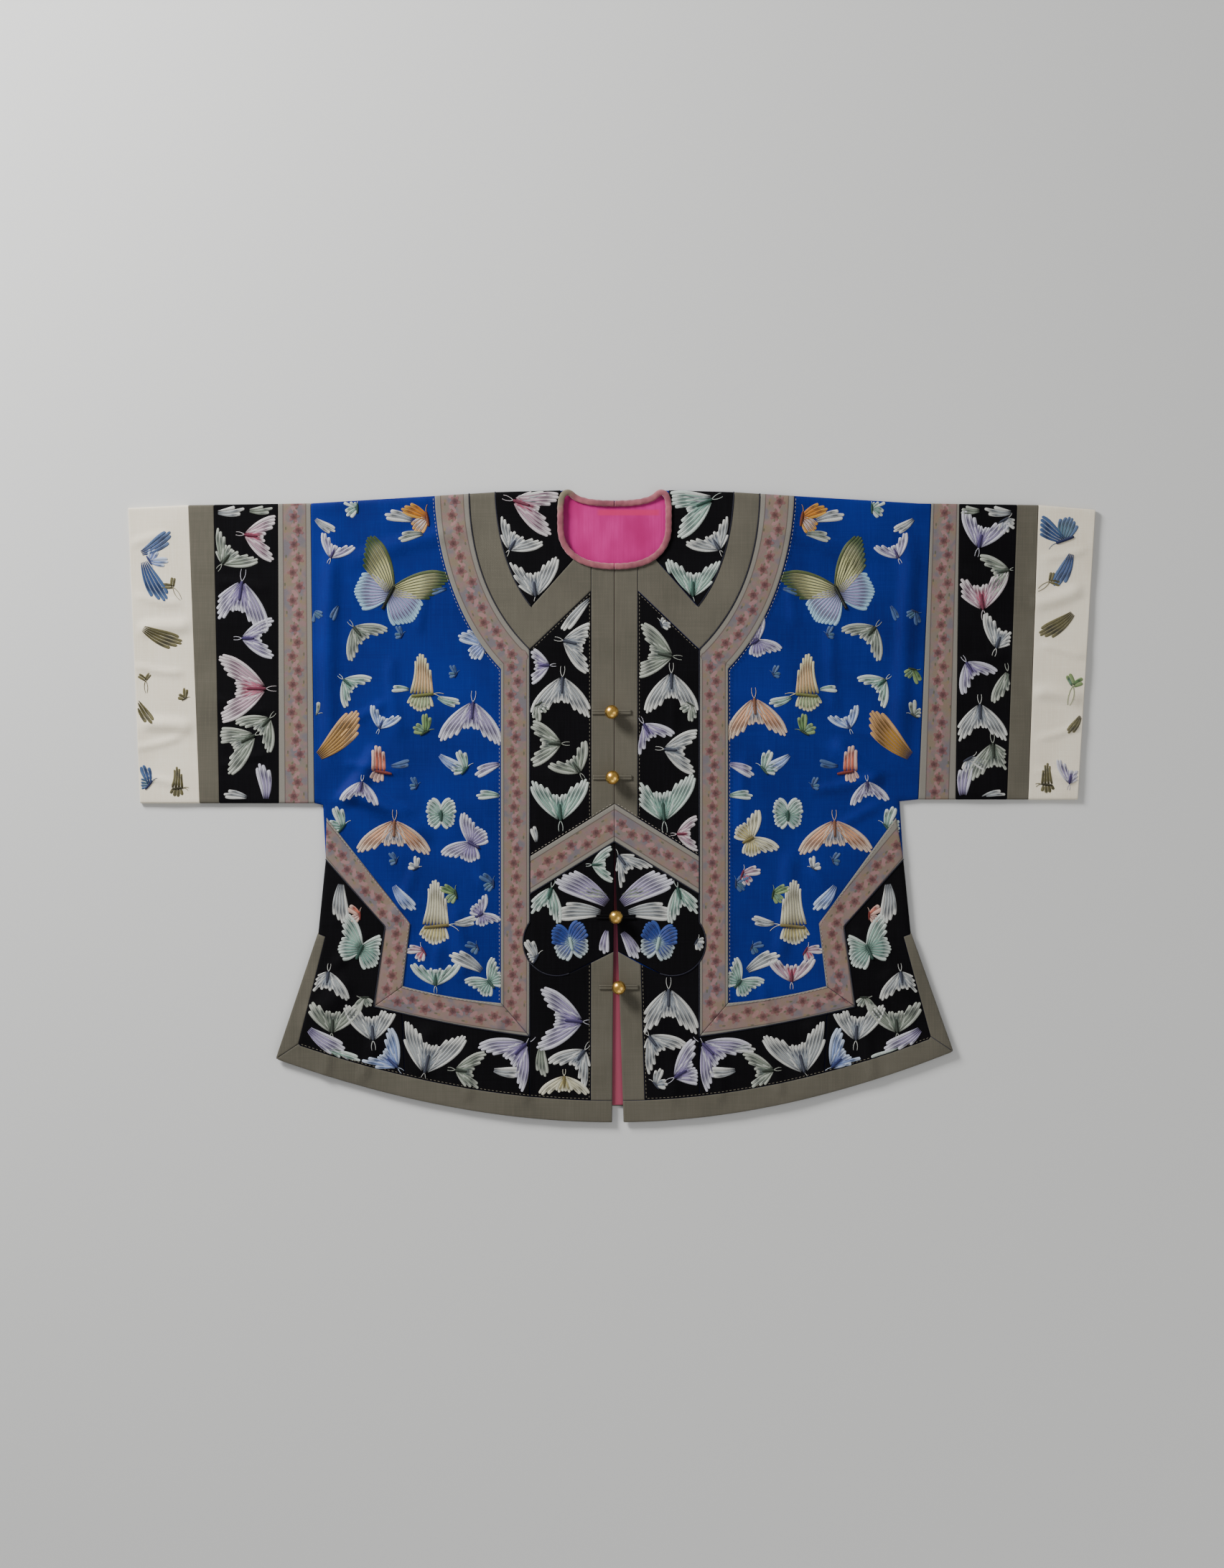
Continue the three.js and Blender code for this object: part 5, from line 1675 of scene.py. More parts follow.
ON_BLACK = placed(
    (VEE, 106, 326, 52, -108, ROSE, -10, "left"), (VEE, 102, 327, 52, -114, MINT, -10, "right"),
    (WING, 104, 330, 32, -92, WHITE), (VEE, 112, 275, 36, -32, WHITE, 12),
    (VEE, 85, 226, 46, 6, WHITE, 0, "left"), (VEE, 84, 226, 46, 2, MINT, 2, "right"),
    (WING, 27, 222, 46, 132, WHITE, 0, "left"), (VEE, 53, 176, 42, -104, WHITE, 4, "left"),
    (VEE, 71, 150, 30, 92, LILAC, 6, "left"), (VEE, 56, 135, 50, 178, WHITE, 2, "left"),
    (VEE, 59, 66, 40, 90, MIST, 0, "left"), (VEE, 38, 36, 34, 34, MIST, 8, "left"),
    (VEE, 58, -14, 50, 2, MINT, 0, "left"), (WING, 84, -40, 20, 10, WHITE, 0, "left"),
    (SIDE, 50, 194, 18, 40, WHITE, 0, "right"), (VEE, 60, 160, 46, -80, MIST, 2, "right"),
    (VEE, 61, 139, 48, 180, WHITE, -2, "right"), (VEE, 32, 86, 34, 150, LILAC, 6, "right"),
    (VEE, 55, 60, 40, 96, WHITE, -2, "right"), (VEE, 53, -14, 56, -4, MINT, 2, "right"),
    (VEE, 68, -31, 28, 88, ROSE, 4, "right"), (SIDE, 82, 108, 22, 180, MIST),
    (VEE, 23, -64, 28, -88, MINT, 6, "left"), (VEE, 5, -55, 38, 144, WHITE, 2, "right"),
    (WING, 7, -106, 66, 56, LILAC), (WING, 14, -116, 50, 84, WHITE), (WING, 8, -98, 30, 74, MIST),
    (VEE, 68, -90, 38, 164, MINT, -8), (RING, 47, -147, 46, 12, BLUE),
    (SIDE, 84, -164, 26, 30, WHITE, 0, "left"), (SIDE, 88, -146, 18, 90, WHITE, 0, "right"),
    (WING, 8, -134, 28, 168, LILAC, 0, "left"), (WING, 8, -136, 36, 146, LILAC, 0, "right"),
    (VEE, 37, -232, 54, 86, LILAC, 0, "left"), (WING, 78, -258, 34, 178, MIST, 0, "left"),
    (VEE, 33, -264, 40, 145, WHITE, 2, "left"), (VEE, 54, -292, 32, 180, CREAM, 20, "left"),
    (VEE, 58, -200, 54, 180, WHITE, -2, "right"), (VEE, 38, -249, 40, 143, WHITE, 4, "right"),
    (VEE, 66, -291, 44, 60, LILAC, -2, "right"), (SIDE, 44, -300, 22, 20, WHITE, 0, "right"),
    (VEE, 96, -257, 50, 135, LILAC, 6), (VEE, 169, -284, 36, -98, MIST, 2),
    (VEE, 203, -284, 56, -14, WHITE, 0), (VEE, 234, -280, 42, 48, SKY, 2),
    (VEE, 259, -250, 46, 4, WHITE, 0), (VEE, 303, -242, 42, -4, MIST, 8),
    (WING, 328, -240, 46, -128, LILAC), (WING, 306, -262, 36, -118, MINT),
    (VEE, 307, -180, 36, 172, WHITE, 8), (OPEN, 272, -154, 48, -24, MINT), (SIDE, 314, -148, 18, 30, WHITE),
    (WING, 293, -84, 44, 176, WHITE), (SIDE, 273, -118, 20, 60, CORAL), (WING, 130, -284, 30, -100, WHITE),
    (WING, 126, -262, 26, 84, WHITE, 0, "right"), (SIDE, 268, -206, 20, 150, MIST),
    (SIDE, 281, -280, 26, 60, WHITE),
)
ON_SLEEVE_BLACK = placed(
    (WING, 426, 314, 30, -88, WHITE), (WING, 392, 316, 26, -90, MIST),
    (VEE, 395, 290, 40, -98, ROSE, 0, "left"), (VEE, 420, 260, 38, -38, MIST, 12, "left"),
    (VEE, 400, 237, 58, 172, LILAC, -2, "left"), (VEE, 398, 179, 38, -90, LILAC, -4, "left"),
    (VEE, 377, 125, 58, 90, ROSE, 0, "left"), (VEE, 371, 92, 36, 138, MIST, 6, "left"),
    (VEE, 388, 74, 48, 118, MIST, -6, "left"), (WING, 374, 6, 40, 2, LILAC), (WING, 394, 8, 26, 76, WHITE),
    (VEE, 391, 278, 42, 14, LILAC, 0, "right"), (SIDE, 418, 306, 26, 120, WHITE, 0, "right"),
    (VEE, 422, 252, 34, -104, MIST, 4, "right"), (VEE, 395, 212, 48, -6, ROSE, 2, "right"),
    (VEE, 410, 170, 38, 20, WHITE, 2, "right"), (VEE, 378, 152, 34, 146, LILAC, 4, "right"),
    (VEE, 422, 142, 36, 170, MIST, 0, "right"), (VEE, 392, 106, 46, 178, WHITE, 0, "right"),
    (VEE, 406, 64, 46, 176, MIST, 2, "right"), (SIDE, 380, 50, 26, 120, WHITE, 0, "right"),
)
ON_CUFF = placed(
    (WING, 508, 270, 40, -62, SLATE, 0, "left"), (WING, 505, 262, 50, -158, SLATE, 0, "left"),
    (SIDE, 499, 262, 24, -90, SKY, 0, "left"), (SPRIG, 474, 234, 34, 40, OLIVE, 0, "left"),
    (WING, 506, 190, 46, -118, OLIVE, 0, "left"), (SPRIG, 503, 134, 28, 10, OLIVE, 0, "left"),
    (WING, 512, 112, 30, -152, OLIVE, 0, "left"), (SIDE, 461, 114, 14, 0, OLIVE, 0, "left"),
    (CLOSED, 469, 18, 26, 0, OLIVE, 0, "left"), (SIDE, 499, 22, 26, 20, SLATE, 0, "left"),
    (SIDE, 482, 284, 44, -50, SLATE, 0, "right"), (WING, 490, 270, 40, -160, SLATE, 0, "right"),
    (SPRIG, 467, 240, 34, 60, OLIVE, 0, "right"), (WING, 492, 206, 44, -130, OLIVE, 0, "right"),
    (SPRIG, 492, 128, 44, 20, LEAF, 0, "right"), (WING, 500, 96, 24, -150, OLIVE, 0, "right"),
    (CLOSED, 464, 22, 26, 0, OLIVE, 0, "right"), (VEE, 488, 24, 28, 10, LILAC, 0, "right"),
)


class MeshBook:
    """Collects patches, cords and stitches into one mesh in millimetres, with silk colours."""

    def __init__(self) -> None:
        """Starts empty."""
        self.points: list[Array] = []
        self.faces: list[list[int]] = []
        self.colours: list[Array] = []
        self.threads: list[Array] = []
        self.count = 0

    def add(self, points: Array, faces: list[list[int]], colours: Array, threads: Array) -> None:
        """Adds one closed body."""
        self.faces += [[i + self.count for i in face] for face in faces]
        self.points.append(points)
        self.colours.append(colours)
        self.threads.append(threads)
        self.count += len(points)

    def patch(self, grid: Array, colours: Array, threads: Array, depth: float) -> None:
        """Adds a patch with walls and an underside.

        Args:
            grid: Its top, by row and column.
            colours: A colour for each point.
            threads: Thread coordinates for each point.
            depth: How far down its walls go.
        """
        tall, wide = grid.shape[:2]
        number = np.arange(tall * wide).reshape(tall, wide)
        rim = np.r_[number[0], number[1:, -1], number[-1, -2::-1], number[-2:0:-1, 0]]
        faces = np.stack([number[:-1, :-1], number[:-1, 1:], number[1:, 1:], number[1:, :-1]], axis=-1)
        faces = faces.reshape(-1, 4).tolist()
        top = grid.reshape(-1, 3)
        base, size = tall * wide, len(rim)
        for k in range(size):
            after = (k + 1) % size
            faces.append([int(rim[after]), int(rim[k]), base + k, base + after])
        faces.append([base + k for k in range(size)][::-1])
        if area_of(top[rim][:, :2]) < 0:
            faces = [face[::-1] for face in faces]
        flat_colours, flat_threads = colours.reshape(-1, 4), threads.reshape(-1, 3)
        self.add(
            np.vstack([top, top[rim] - (0, 0, depth)]), faces, np.vstack([flat_colours, flat_colours[rim]]),
            np.vstack([flat_threads, flat_threads[rim]]),
        )

    def tube(self, path: Array, radius: Array, colour: Colour, sides: int, flat: float = 1.0) -> None:
        """Adds a round or flattened cord with closed ends.

        Args:
            path: Its middle line in three dimensions.
            radius: Its radius at each point.
            colour: Its colour.
            sides: How many sides it has.
            flat: Its height as a share of its width.
        """
        ahead = unit(np.gradient(path, axis=0))
        across = unit(np.cross(ahead, (0.0, 0.0, 1.0)))
        up = np.cross(across, ahead)
        angle = round_angles(sides)
        ring = (
            across[:, None, :] * np.cos(angle)[None, :, None]
            + up[:, None, :] * (flat * np.sin(angle))[None, :, None]
        )
        points = (path[:, None, :] + ring * radius[:, None, None]).reshape(-1, 3)
        count = len(path)
        faces = []
        for s in range(count - 1):
            for k in range(sides):
                a, b = s * sides + k, s * sides + (k + 1) % sides
                faces.append([a, b, b + sides, a + sides])
        faces.append(list(range(sides))[::-1])
        faces.append([(count - 1) * sides + k for k in range(sides)])
        along = reached(path)
        twist = np.repeat(along, sides) + np.tile(np.arange(sides) * 0.1, count)
        threads = np.column_stack([twist, np.repeat(along, sides), np.zeros(count * sides)])
        self.add(points, faces, np.tile(colour, (count * sides, 1)), threads)

    def build(self, name: str, finish: object, slot: str) -> Piece:
        """Makes the piece."""
        piece = add_piece(name, np.vstack(self.points), self.faces, finish)
        set_attribute(piece, "silk", np.vstack(self.colours), "FLOAT_COLOR")
        set_attribute(piece, "thread", np.vstack(self.threads))
        return piece


class ClothMap:
    """A cloth's height, and the depth inside its shown edges, on an even grid of places on the plan."""

    def __init__(self, fields: Sequence[Array], base: float, pitch: float = 1.5) -> None:
        """Measures the cloth.

        Args:
            fields: The outlines on the plan that show the stitches.
            base: Height of the cloth's top before its relief.
            pitch: Spacing of the grid.
        """
        every = np.vstack(fields)
        self.low = every.min(axis=0) - 2 * pitch
        self.pitch = pitch
        wide, tall = np.ceil((every.max(axis=0) + 2 * pitch - self.low) / pitch).astype(int) + 1
        x, y = np.meshgrid(np.arange(wide) * pitch + self.low[0], np.arange(tall) * pitch + self.low[1])
        places = np.column_stack([x.ravel(), y.ravel()])
        depth = np.full(len(places), -9.0)
        for outline in fields:
            within = inside(places, outline)
            depth[within] = np.maximum(depth[within], edge_distance(places[within], outline))
        self.depths = depth.reshape(tall, wide)
        self.heights = (base + RELIEF.height(places)).reshape(tall, wide)

    def read(self, grid: Array, plan: Array) -> Array:
        """Reads a grid at places on the plan, blending its four nearest values.

        Args:
            grid: The grid.
            plan: The places.

        Returns:
            One value for each place.
        """
        x, y = ((plan - self.low) / self.pitch).T
        column = np.clip(np.floor(x).astype(int), 0, grid.shape[1] - 2)
        row = np.clip(np.floor(y).astype(int), 0, grid.shape[0] - 2)
        across, up = np.clip(x - column, 0, 1), np.clip(y - row, 0, 1)
        low = grid[row, column] * (1 - across) + grid[row, column + 1] * across
        high = grid[row + 1, column] * (1 - across) + grid[row + 1, column + 1] * across
        return low * (1 - up) + high * up

    def height(self, plan: Array) -> Array:
        """Gives the cloth's height."""
        return self.read(self.heights, plan)

    def depth(self, plan: Array) -> Array:
        """Gives how far inside the shown edges places are, and below zero outside them."""
        return self.read(self.depths, plan)


@dataclass(frozen=True)
class Embroidery:
    """Satin-stitched butterflies on one cloth of one half. Each ends where its cloth runs under a seam.

    Attributes:
        side: The half of the jacket.
        cloth: The cloth that carries them.
        ink: The dark silk of the wings' spots.
        dome: How far a lobe stands up.
        gap: Half the bare cloth between two lobes.
        lobe: The usual width of a lobe.
        wing_steps: Chords of a wing's middle line.
        line_steps: Chords of a feeler or a body.
        root_gap: Where a lobe starts, as a share of its wing's length.
        broadest: Where a wing is broadest, as a share of its length.
        narrowing: Share of its width that it loses from there to its tip.
        hind_spread: Share of a motif's extra spread that its hind wings take.
        tip_power: How round a wing's tip is.
        row_pitch: Spacing of a lobe's rows of points.
        columns: Points in each row.
        least: Share of a line that its cloth must show for it to be stitched.
    """

    side: Side
    cloth: ClothMap
    ink: Colour = srgb(22, 24, 40)
    dome: float = 0.6
    gap: float = 0.1
    lobe: float = 3.7
    wing_steps: int = 32
    line_steps: int = 8
    root_gap: float = 0.02
    broadest: float = 0.72
    narrowing: float = 0.3
    hind_spread: float = 0.45
    tip_power: float = 1.6
    row_pitch: float = 3.4
    columns: int = 5
    least: float = 0.28

    def heading(self, degrees: Array | float) -> Array:
        """Gives the unit vector of a heading, from the collar outwards."""
        angle = np.radians(np.asarray(degrees, dtype=float))
        return np.stack([self.side.sign * np.sin(angle), np.cos(angle)], axis=-1)

    def shown(self, line: Array, margin: float) -> tuple[float, float] | None:
        """Gives the longest stretch of a line that its cloth shows, as shares of the line, or None.

        Args:
            line: Its points on the plan.
            margin: How far inside the cloth's edges they must lie.

        Returns:
            Where the stretch starts and ends.
        """
        clear = self.cloth.depth(line) > margin
        best, start = (0, 0), None
        for i, free in enumerate([*clear.tolist(), False]):
            if free and start is None:
                start = i
            if not free and start is not None:
                best = max(best, (i - 1 - start, start))
                start = None
        length, first = best
        last = len(line) - 1
        return (first / last, (first + length) / last) if length >= self.least * last else None

    def wing(self, book: MeshBook, centre: Array, stitched: Stitched, wing: Wing, way: int) -> None:
        """Stitches one wing.

        Args:
            book: Where it goes.
            centre: The motif's place on the plan.
            stitched: The motif.
            wing: The wing.
            way: 1 for the wing as it is given, -1 for its mirror image.
        """
        silks = stitched.silks.value
        span = stitched.span
        spread = wing.heading + stitched.extra * (self.hind_spread if wing.hind else 1.0)
        share = np.linspace(0, 1, self.wing_steps + 1)
        headings = stitched.turn + way * (spread + wing.bend * (share - 0.2))
        steps = self.heading(headings) * (wing.length * span / self.wing_steps)
        spine = centre + np.vstack([[0, 0], np.cumsum(steps[:-1], axis=0)])
        normals = self.heading(headings + 90)
        tip = smooth((share - self.broadest) / (1 - self.broadest))
        full = np.sin(np.minimum(share / self.broadest, 1) * math.pi / 2) * (1 - self.narrowing * tip)
        half = wing.half * span * (wing.root + (1 - wing.root) * full)
        widest = 2 * wing.half * span * max(wing.root, 1)
        count = max(2, round(widest / self.lobe))
        for i in range(count):
            place = (i + 0.5) / count
            aside = abs(place - wing.peak) / max(wing.peak, 1 - wing.peak)
            reach = 1 - (1 - wing.short) * aside**self.tip_power
            middle = way * wing.lead * (1 - 2 * place)
            leading = place < 1 / count
            self.stitch_lobe(book, spine, normals, half, middle, 1 / count, reach, leading, wing.hind, silks)

    def stitch_lobe(
        self, book: MeshBook, spine: Array, normals: Array, half: Array, middle: float, wide: float,
        reach: float, leading: bool, hind: bool, silks: Palette,
    ) -> None:
        """Stitches one lobe of a wing.

        Args:
            book: Where it goes.
            spine: The wing's middle line.
            normals: The directions across it.
            half: The wing's half widths along it.
            middle: The lobe's place across the wing, from -1 to 1.
            wide: The lobe's half width as a share of the wing's.
            reach: The lobe's length as a share of the wing's.
            leading: Whether it is the wing's leading edge.
            hind: Whether it is on a hind wing.
            silks: The colours.
        """
        grid = np.linspace(0, 1, len(spine))

        def along(values: Array, shares: Array) -> Array:
            """Reads a row of values part of the way along the wing."""
            return np.column_stack([np.interp(shares, grid, values[:, k]) for k in range(values.shape[1])])

        breadth = wide * float(np.interp(reach * 0.6, grid, half))
        probe = np.linspace(self.root_gap, reach, 18)
        line = along(spine, probe) + along(normals, probe) * (middle * np.interp(probe, grid, half))[:, None]
        found = self.shown(line, 0.45 + 0.45 * breadth)
        if found is None:
            return
        long = reach - self.root_gap
        first, last = (self.root_gap + long * share for share in found)
        shown = float(np.hypot(*(line[-1] - line[0]))) * (last - first) / long
        tall, columns = int(np.clip(round(shown / self.row_pitch) + 3, 6, 16)), self.columns
        end = min(0.8 * breadth / max(shown, 1e-6), 0.4)
        t = np.r_[np.linspace(0, 1 - end, tall - 2), 1 - 0.4 * end, 1]
        s = np.linspace(-1, 1, columns)
        shares = first + (last - first) * t
        outer = np.sqrt(1 - 0.94 * np.clip(1 - (1 - t) / end, 0, 1) ** 2)
        cap = outer * np.sqrt(1 - 0.6 * np.clip(1 - t / 0.16, 0, 1) ** 2)
        width = np.maximum(wide * np.interp(shares, grid, half) - self.gap, 0.2) * cap
        normal = along(normals, shares)
        centre = along(spine, shares) + normal * (middle * np.interp(shares, grid, half))[:, None]
        aside = width[:, None] * s[None, :]
        plan = centre[:, None, :] + normal[:, None, :] * aside[..., None]
        height = self.cloth.height(plan.reshape(-1, 2)).reshape(tall, columns)
        arch = 0.45 + 0.55 * np.sin(math.pi * (0.12 + 0.76 * t))
        bow = np.sqrt(np.maximum(1 - s**2, 0))[None, :] * arch[:, None]
        lift = self.dome * (1.15 if leading else 1.0) * (0.85 if hind else 1.0) * bow
        threads = np.zeros((tall, columns, 3))
        threads[..., 0] = aside
        threads[..., 1] = t[:, None] * 10
        colours = self.lobe_colours(t, s, leading, hind, silks)
        book.patch(np.dstack([plan, height + lift + 0.08]), colours, threads, 0.6)

    def lobe_colours(self, t: Array, s: Array, leading: bool, hind: bool, silks: Palette) -> Array:
        """Gives a lobe's colours, with its pale edge, its shaded root and its dark spot.

        Args:
            t: Its rows' places from its root to its tip, from 0 to 1.
            s: Its columns' places across it, from -1 to 1.
            leading: Whether it is the wing's leading edge.
            hind: Whether it is on a hind wing.
            silks: The colours.

        Returns:
            A colour for each row and column.
        """
        edge = np.array(silks.hind_edge if hind and silks.hind_edge else silks.edge)
        field_colour = np.array(silks.hind if hind else silks.field)
        rim = np.maximum(smooth((t - 0.66) / 0.22)[:, None], 0.8 * smooth((np.abs(s) - 0.3) / 0.6)[None, :])
        rim = np.maximum(rim, 0.9 if leading else 0.0)[..., None]
        colours = field_colour * (1 - rim) + edge * rim
        shade = 0.7 * (1 - smooth(t / 0.34))[:, None, None] * np.ones((1, len(s), 1))
        colours = colours * (1 - shade) + np.array(silks.body) * shade
        if not leading:
            away = np.hypot((t[:, None] - 0.7) * 6.5, s[None, :] * 2.1)
            dot = 0.85 * smooth(1.5 - away)[..., None]
            colours = colours * (1 - dot) + np.array(self.ink) * dot
        return colours

    def line(
        self, book: MeshBook, start: Array, turn: float, length: float, bend: float, colour: Colour,
    ) -> None:
        """Stitches a thin curved line, such as a feeler or a stem.

        Args:
            book: Where it goes.
            start: Its first point on the plan.
            turn: Its first heading, in degrees.
            length: Its length.
            bend: How many degrees it turns.
            colour: Its silk.
        """
        headings = turn + bend * np.linspace(0, 1, self.line_steps + 1)
        steps = self.heading(headings[:-1]) * length / self.line_steps
        plan = start + np.vstack([[0, 0], np.cumsum(steps, axis=0)])
        found = self.shown(plan, 0.6)
        if found is None:
            return
        first, last = (round(share * self.line_steps) for share in found)
        plan = plan[first:last + 1]
        path = np.column_stack([plan, self.cloth.height(plan) + 0.2])
        book.tube(path, 0.4 * (1 - 0.4 * np.linspace(0, 1, len(plan))), colour, sides=5)

    def motif(self, book: MeshBook, stitched: Stitched) -> None:
        """Stitches one motif with its wings, body and feelers.

        Args:
            book: Where it goes.
            stitched: The motif.
        """
        shape, silks = stitched.motif.value, stitched.silks.value
        centre = self.side.plan(rows((stitched.u, stitched.v)))[0]
        for wing in shape.wings:
            for way in (1, -1) if shape.paired else (1,):
                self.wing(book, centre, stitched, wing, way)
        heading, start, end = shape.body
        ahead = self.heading(stitched.turn + heading)
        if end > start:
            places = np.linspace(start, end, self.line_steps + 1)
            plan = centre + ahead * (places[:, None] * stitched.span)
            if self.cloth.depth(plan).min() > 1.2:
                swell = np.sin(math.pi * np.linspace(0.08, 0.94, len(places))) ** 0.6
                thick = 0.038 * stitched.span * (0.3 + swell)
                path = np.column_stack([plan, self.cloth.height(plan) + 0.35])
                book.tube(path, np.minimum(thick, 1.7), silks.body, sides=8, flat=0.75)
        head = centre + ahead * (start * stitched.span)
        for feeler in shape.feelers:
            bend = math.copysign(46, feeler)
            long = 0.5 if stitched.motif is Motif.SPRIG else 0.24
            self.line(book, head, stitched.turn + feeler, long * stitched.span, bend, silks.edge)

    def build(self, name: str, motifs: Sequence[Stitched], slot: str) -> Piece:
        """Makes the piece of this half's motifs."""
        book = MeshBook()
        for stitched in motifs:
            if stitched.halves in ("both", self.side.name):
                self.motif(book, stitched)
        return book.build(name, SATIN_STITCH, slot)


@dataclass(frozen=True)
class Trims:
    """Couched piping along the bands' seams, the strips' running stitches, and the roll over the hem."""

    side: Side
    piping: float = 0.75
    pitch: float = 4.2
    stitch: float = 2.5
    by_ribbon: float = 1.6
    by_band: float = 1.7
    ink: Colour = srgb(24, 24, 40)
    grey: Colour = srgb(150, 143, 126)
    pale: Colour = srgb(196, 186, 172)

    def lay(self, line: Array, base: float, step: float) -> Array:
        """Lays a line in (u, v) on the front's relief."""
        plan = even(self.side.plan(line), step)
        return np.column_stack([plan, base + RELIEF.height(plan)])

    def pipe(self, book: MeshBook, line: Array, base: float = RIBBON_LAYER[1] - 0.25) -> None:
        """Lays piping along a line in (u, v)."""
        path = self.lay(line, base, 3.5)
        book.tube(path, np.full(len(path), self.piping), self.ink, sides=7)

    def sew(self, book: MeshBook, line: Array, offset: float, base: float, colour: Colour) -> None:
        """Sews running stitches beside a line in (u, v).

        Args:
            book: Where they go.
            line: The line.
            offset: How far beside it, to its left.
            base: The height of the cloth's top.
            colour: The thread.
        """
        path = self.lay(line, base, self.pitch)
        ahead = unit(np.gradient(path, axis=0))
        side = np.column_stack([upright(ahead), np.zeros(len(path))])
        shape = np.array([-0.5, -0.3, 0.3, 0.5])[:, None] * self.stitch
        rise = np.array([(0, 0, -0.1), (0, 0, 0.12), (0, 0, 0.12), (0, 0, -0.1)])
        for place, forward, out in zip(path[1:-1], ahead[1:-1], side[1:-1]):
            middle = place + out * offset * self.side.sign
            body = middle + forward * shape + rise
            book.tube(body, np.array([0.08, 0.24, 0.24, 0.08]), colour, sides=5)

    def build(self) -> None:
        """Makes the piping, the stitches and the hem's roll of this half."""
        side = self.side
        cord, seams = MeshBook(), MeshBook()
        straight = rows(ARM_TIP, (BORDER, LOBE_ON_RIBBON[0][1]))
        below = rows(LOBE_ON_RIBBON[-1], CORNER_OUTER)
        slit_inner = rows(SLIT_CORNER_INNER, SLIT_KNEE_INNER, (side.underarm - 4, SLIT_RIBBON_TOP_INNER))
        cloud = rows(LOBE_ON_RIBBON, LOBE_BELOW[1:])
        inner = rows(RIBBON_INNER, straight[1:])
        for line in (inner, below, HEM_RIBBON_OUTER, SLIT_RIBBON_OUTER, cloud):
            self.pipe(cord, line)
        self.pipe(cord, YOKE_CURVE, STRIP_LAYER[1] - 0.2)
        self.pipe(cord, chevron_edge(CHEVRON_BOTTOM), STRIP_LAYER[1] + 0.1)
        outer = rows(RIBBON_OUTER, CORNER_INNER)
        chevron = chevron_edge(CHEVRON_TOP)
        for line, way in ((outer, 1), (HEM_RIBBON_INNER, -1), (slit_inner, -1), (chevron, 1)):
            self.sew(seams, line, way * self.by_ribbon, RIBBON_LAYER[1], self.pale)
        hem = side.hem()
        foot = between(side.hem_inner(), side.placket(HEM), SLIT_BINDING_U)
        placket = rows((PLACKET, ARM_PLACKET), chevron_line(CHEVRON_TOP, PLACKET))
        lower = rows((side.placket(-160), cloud_base(PLACKET)), (side.placket(HEM), HEM + HEM_BINDING))
        arm = rows((PLACKET, ARM_PLACKET), ARM_TIP)
        for line, way in ((foot, 1), (placket, 1), (lower, 1), (arm, -1)):
            self.sew(seams, line, way * self.by_band, STRIP_LAYER[1], self.grey)
        roll = MeshBook()
        edge = rows(between(hem, side.open_at_hem + 0.6, HEM_CORNER - 0.6), (SLIT_TOP[0] - 0.6, SLIT_TOP[1]))
        path = self.lay(edge + (0, 0.6), (GROUND_LAYER[0] + STRIP_LAYER[1]) / 2, 3.5)
        roll.tube(path, np.full(len(path), 0.9), self.grey, sides=8, flat=1.5)
        roll.build(f"hem_roll_{side.name}", GREY_SILK, "grey_silk")
        cord.build(f"piping_{side.name}", SATIN_STITCH, "black_satin")
        seams.build(f"seam_stitches_{side.name}", SATIN_STITCH, "grey_silk")


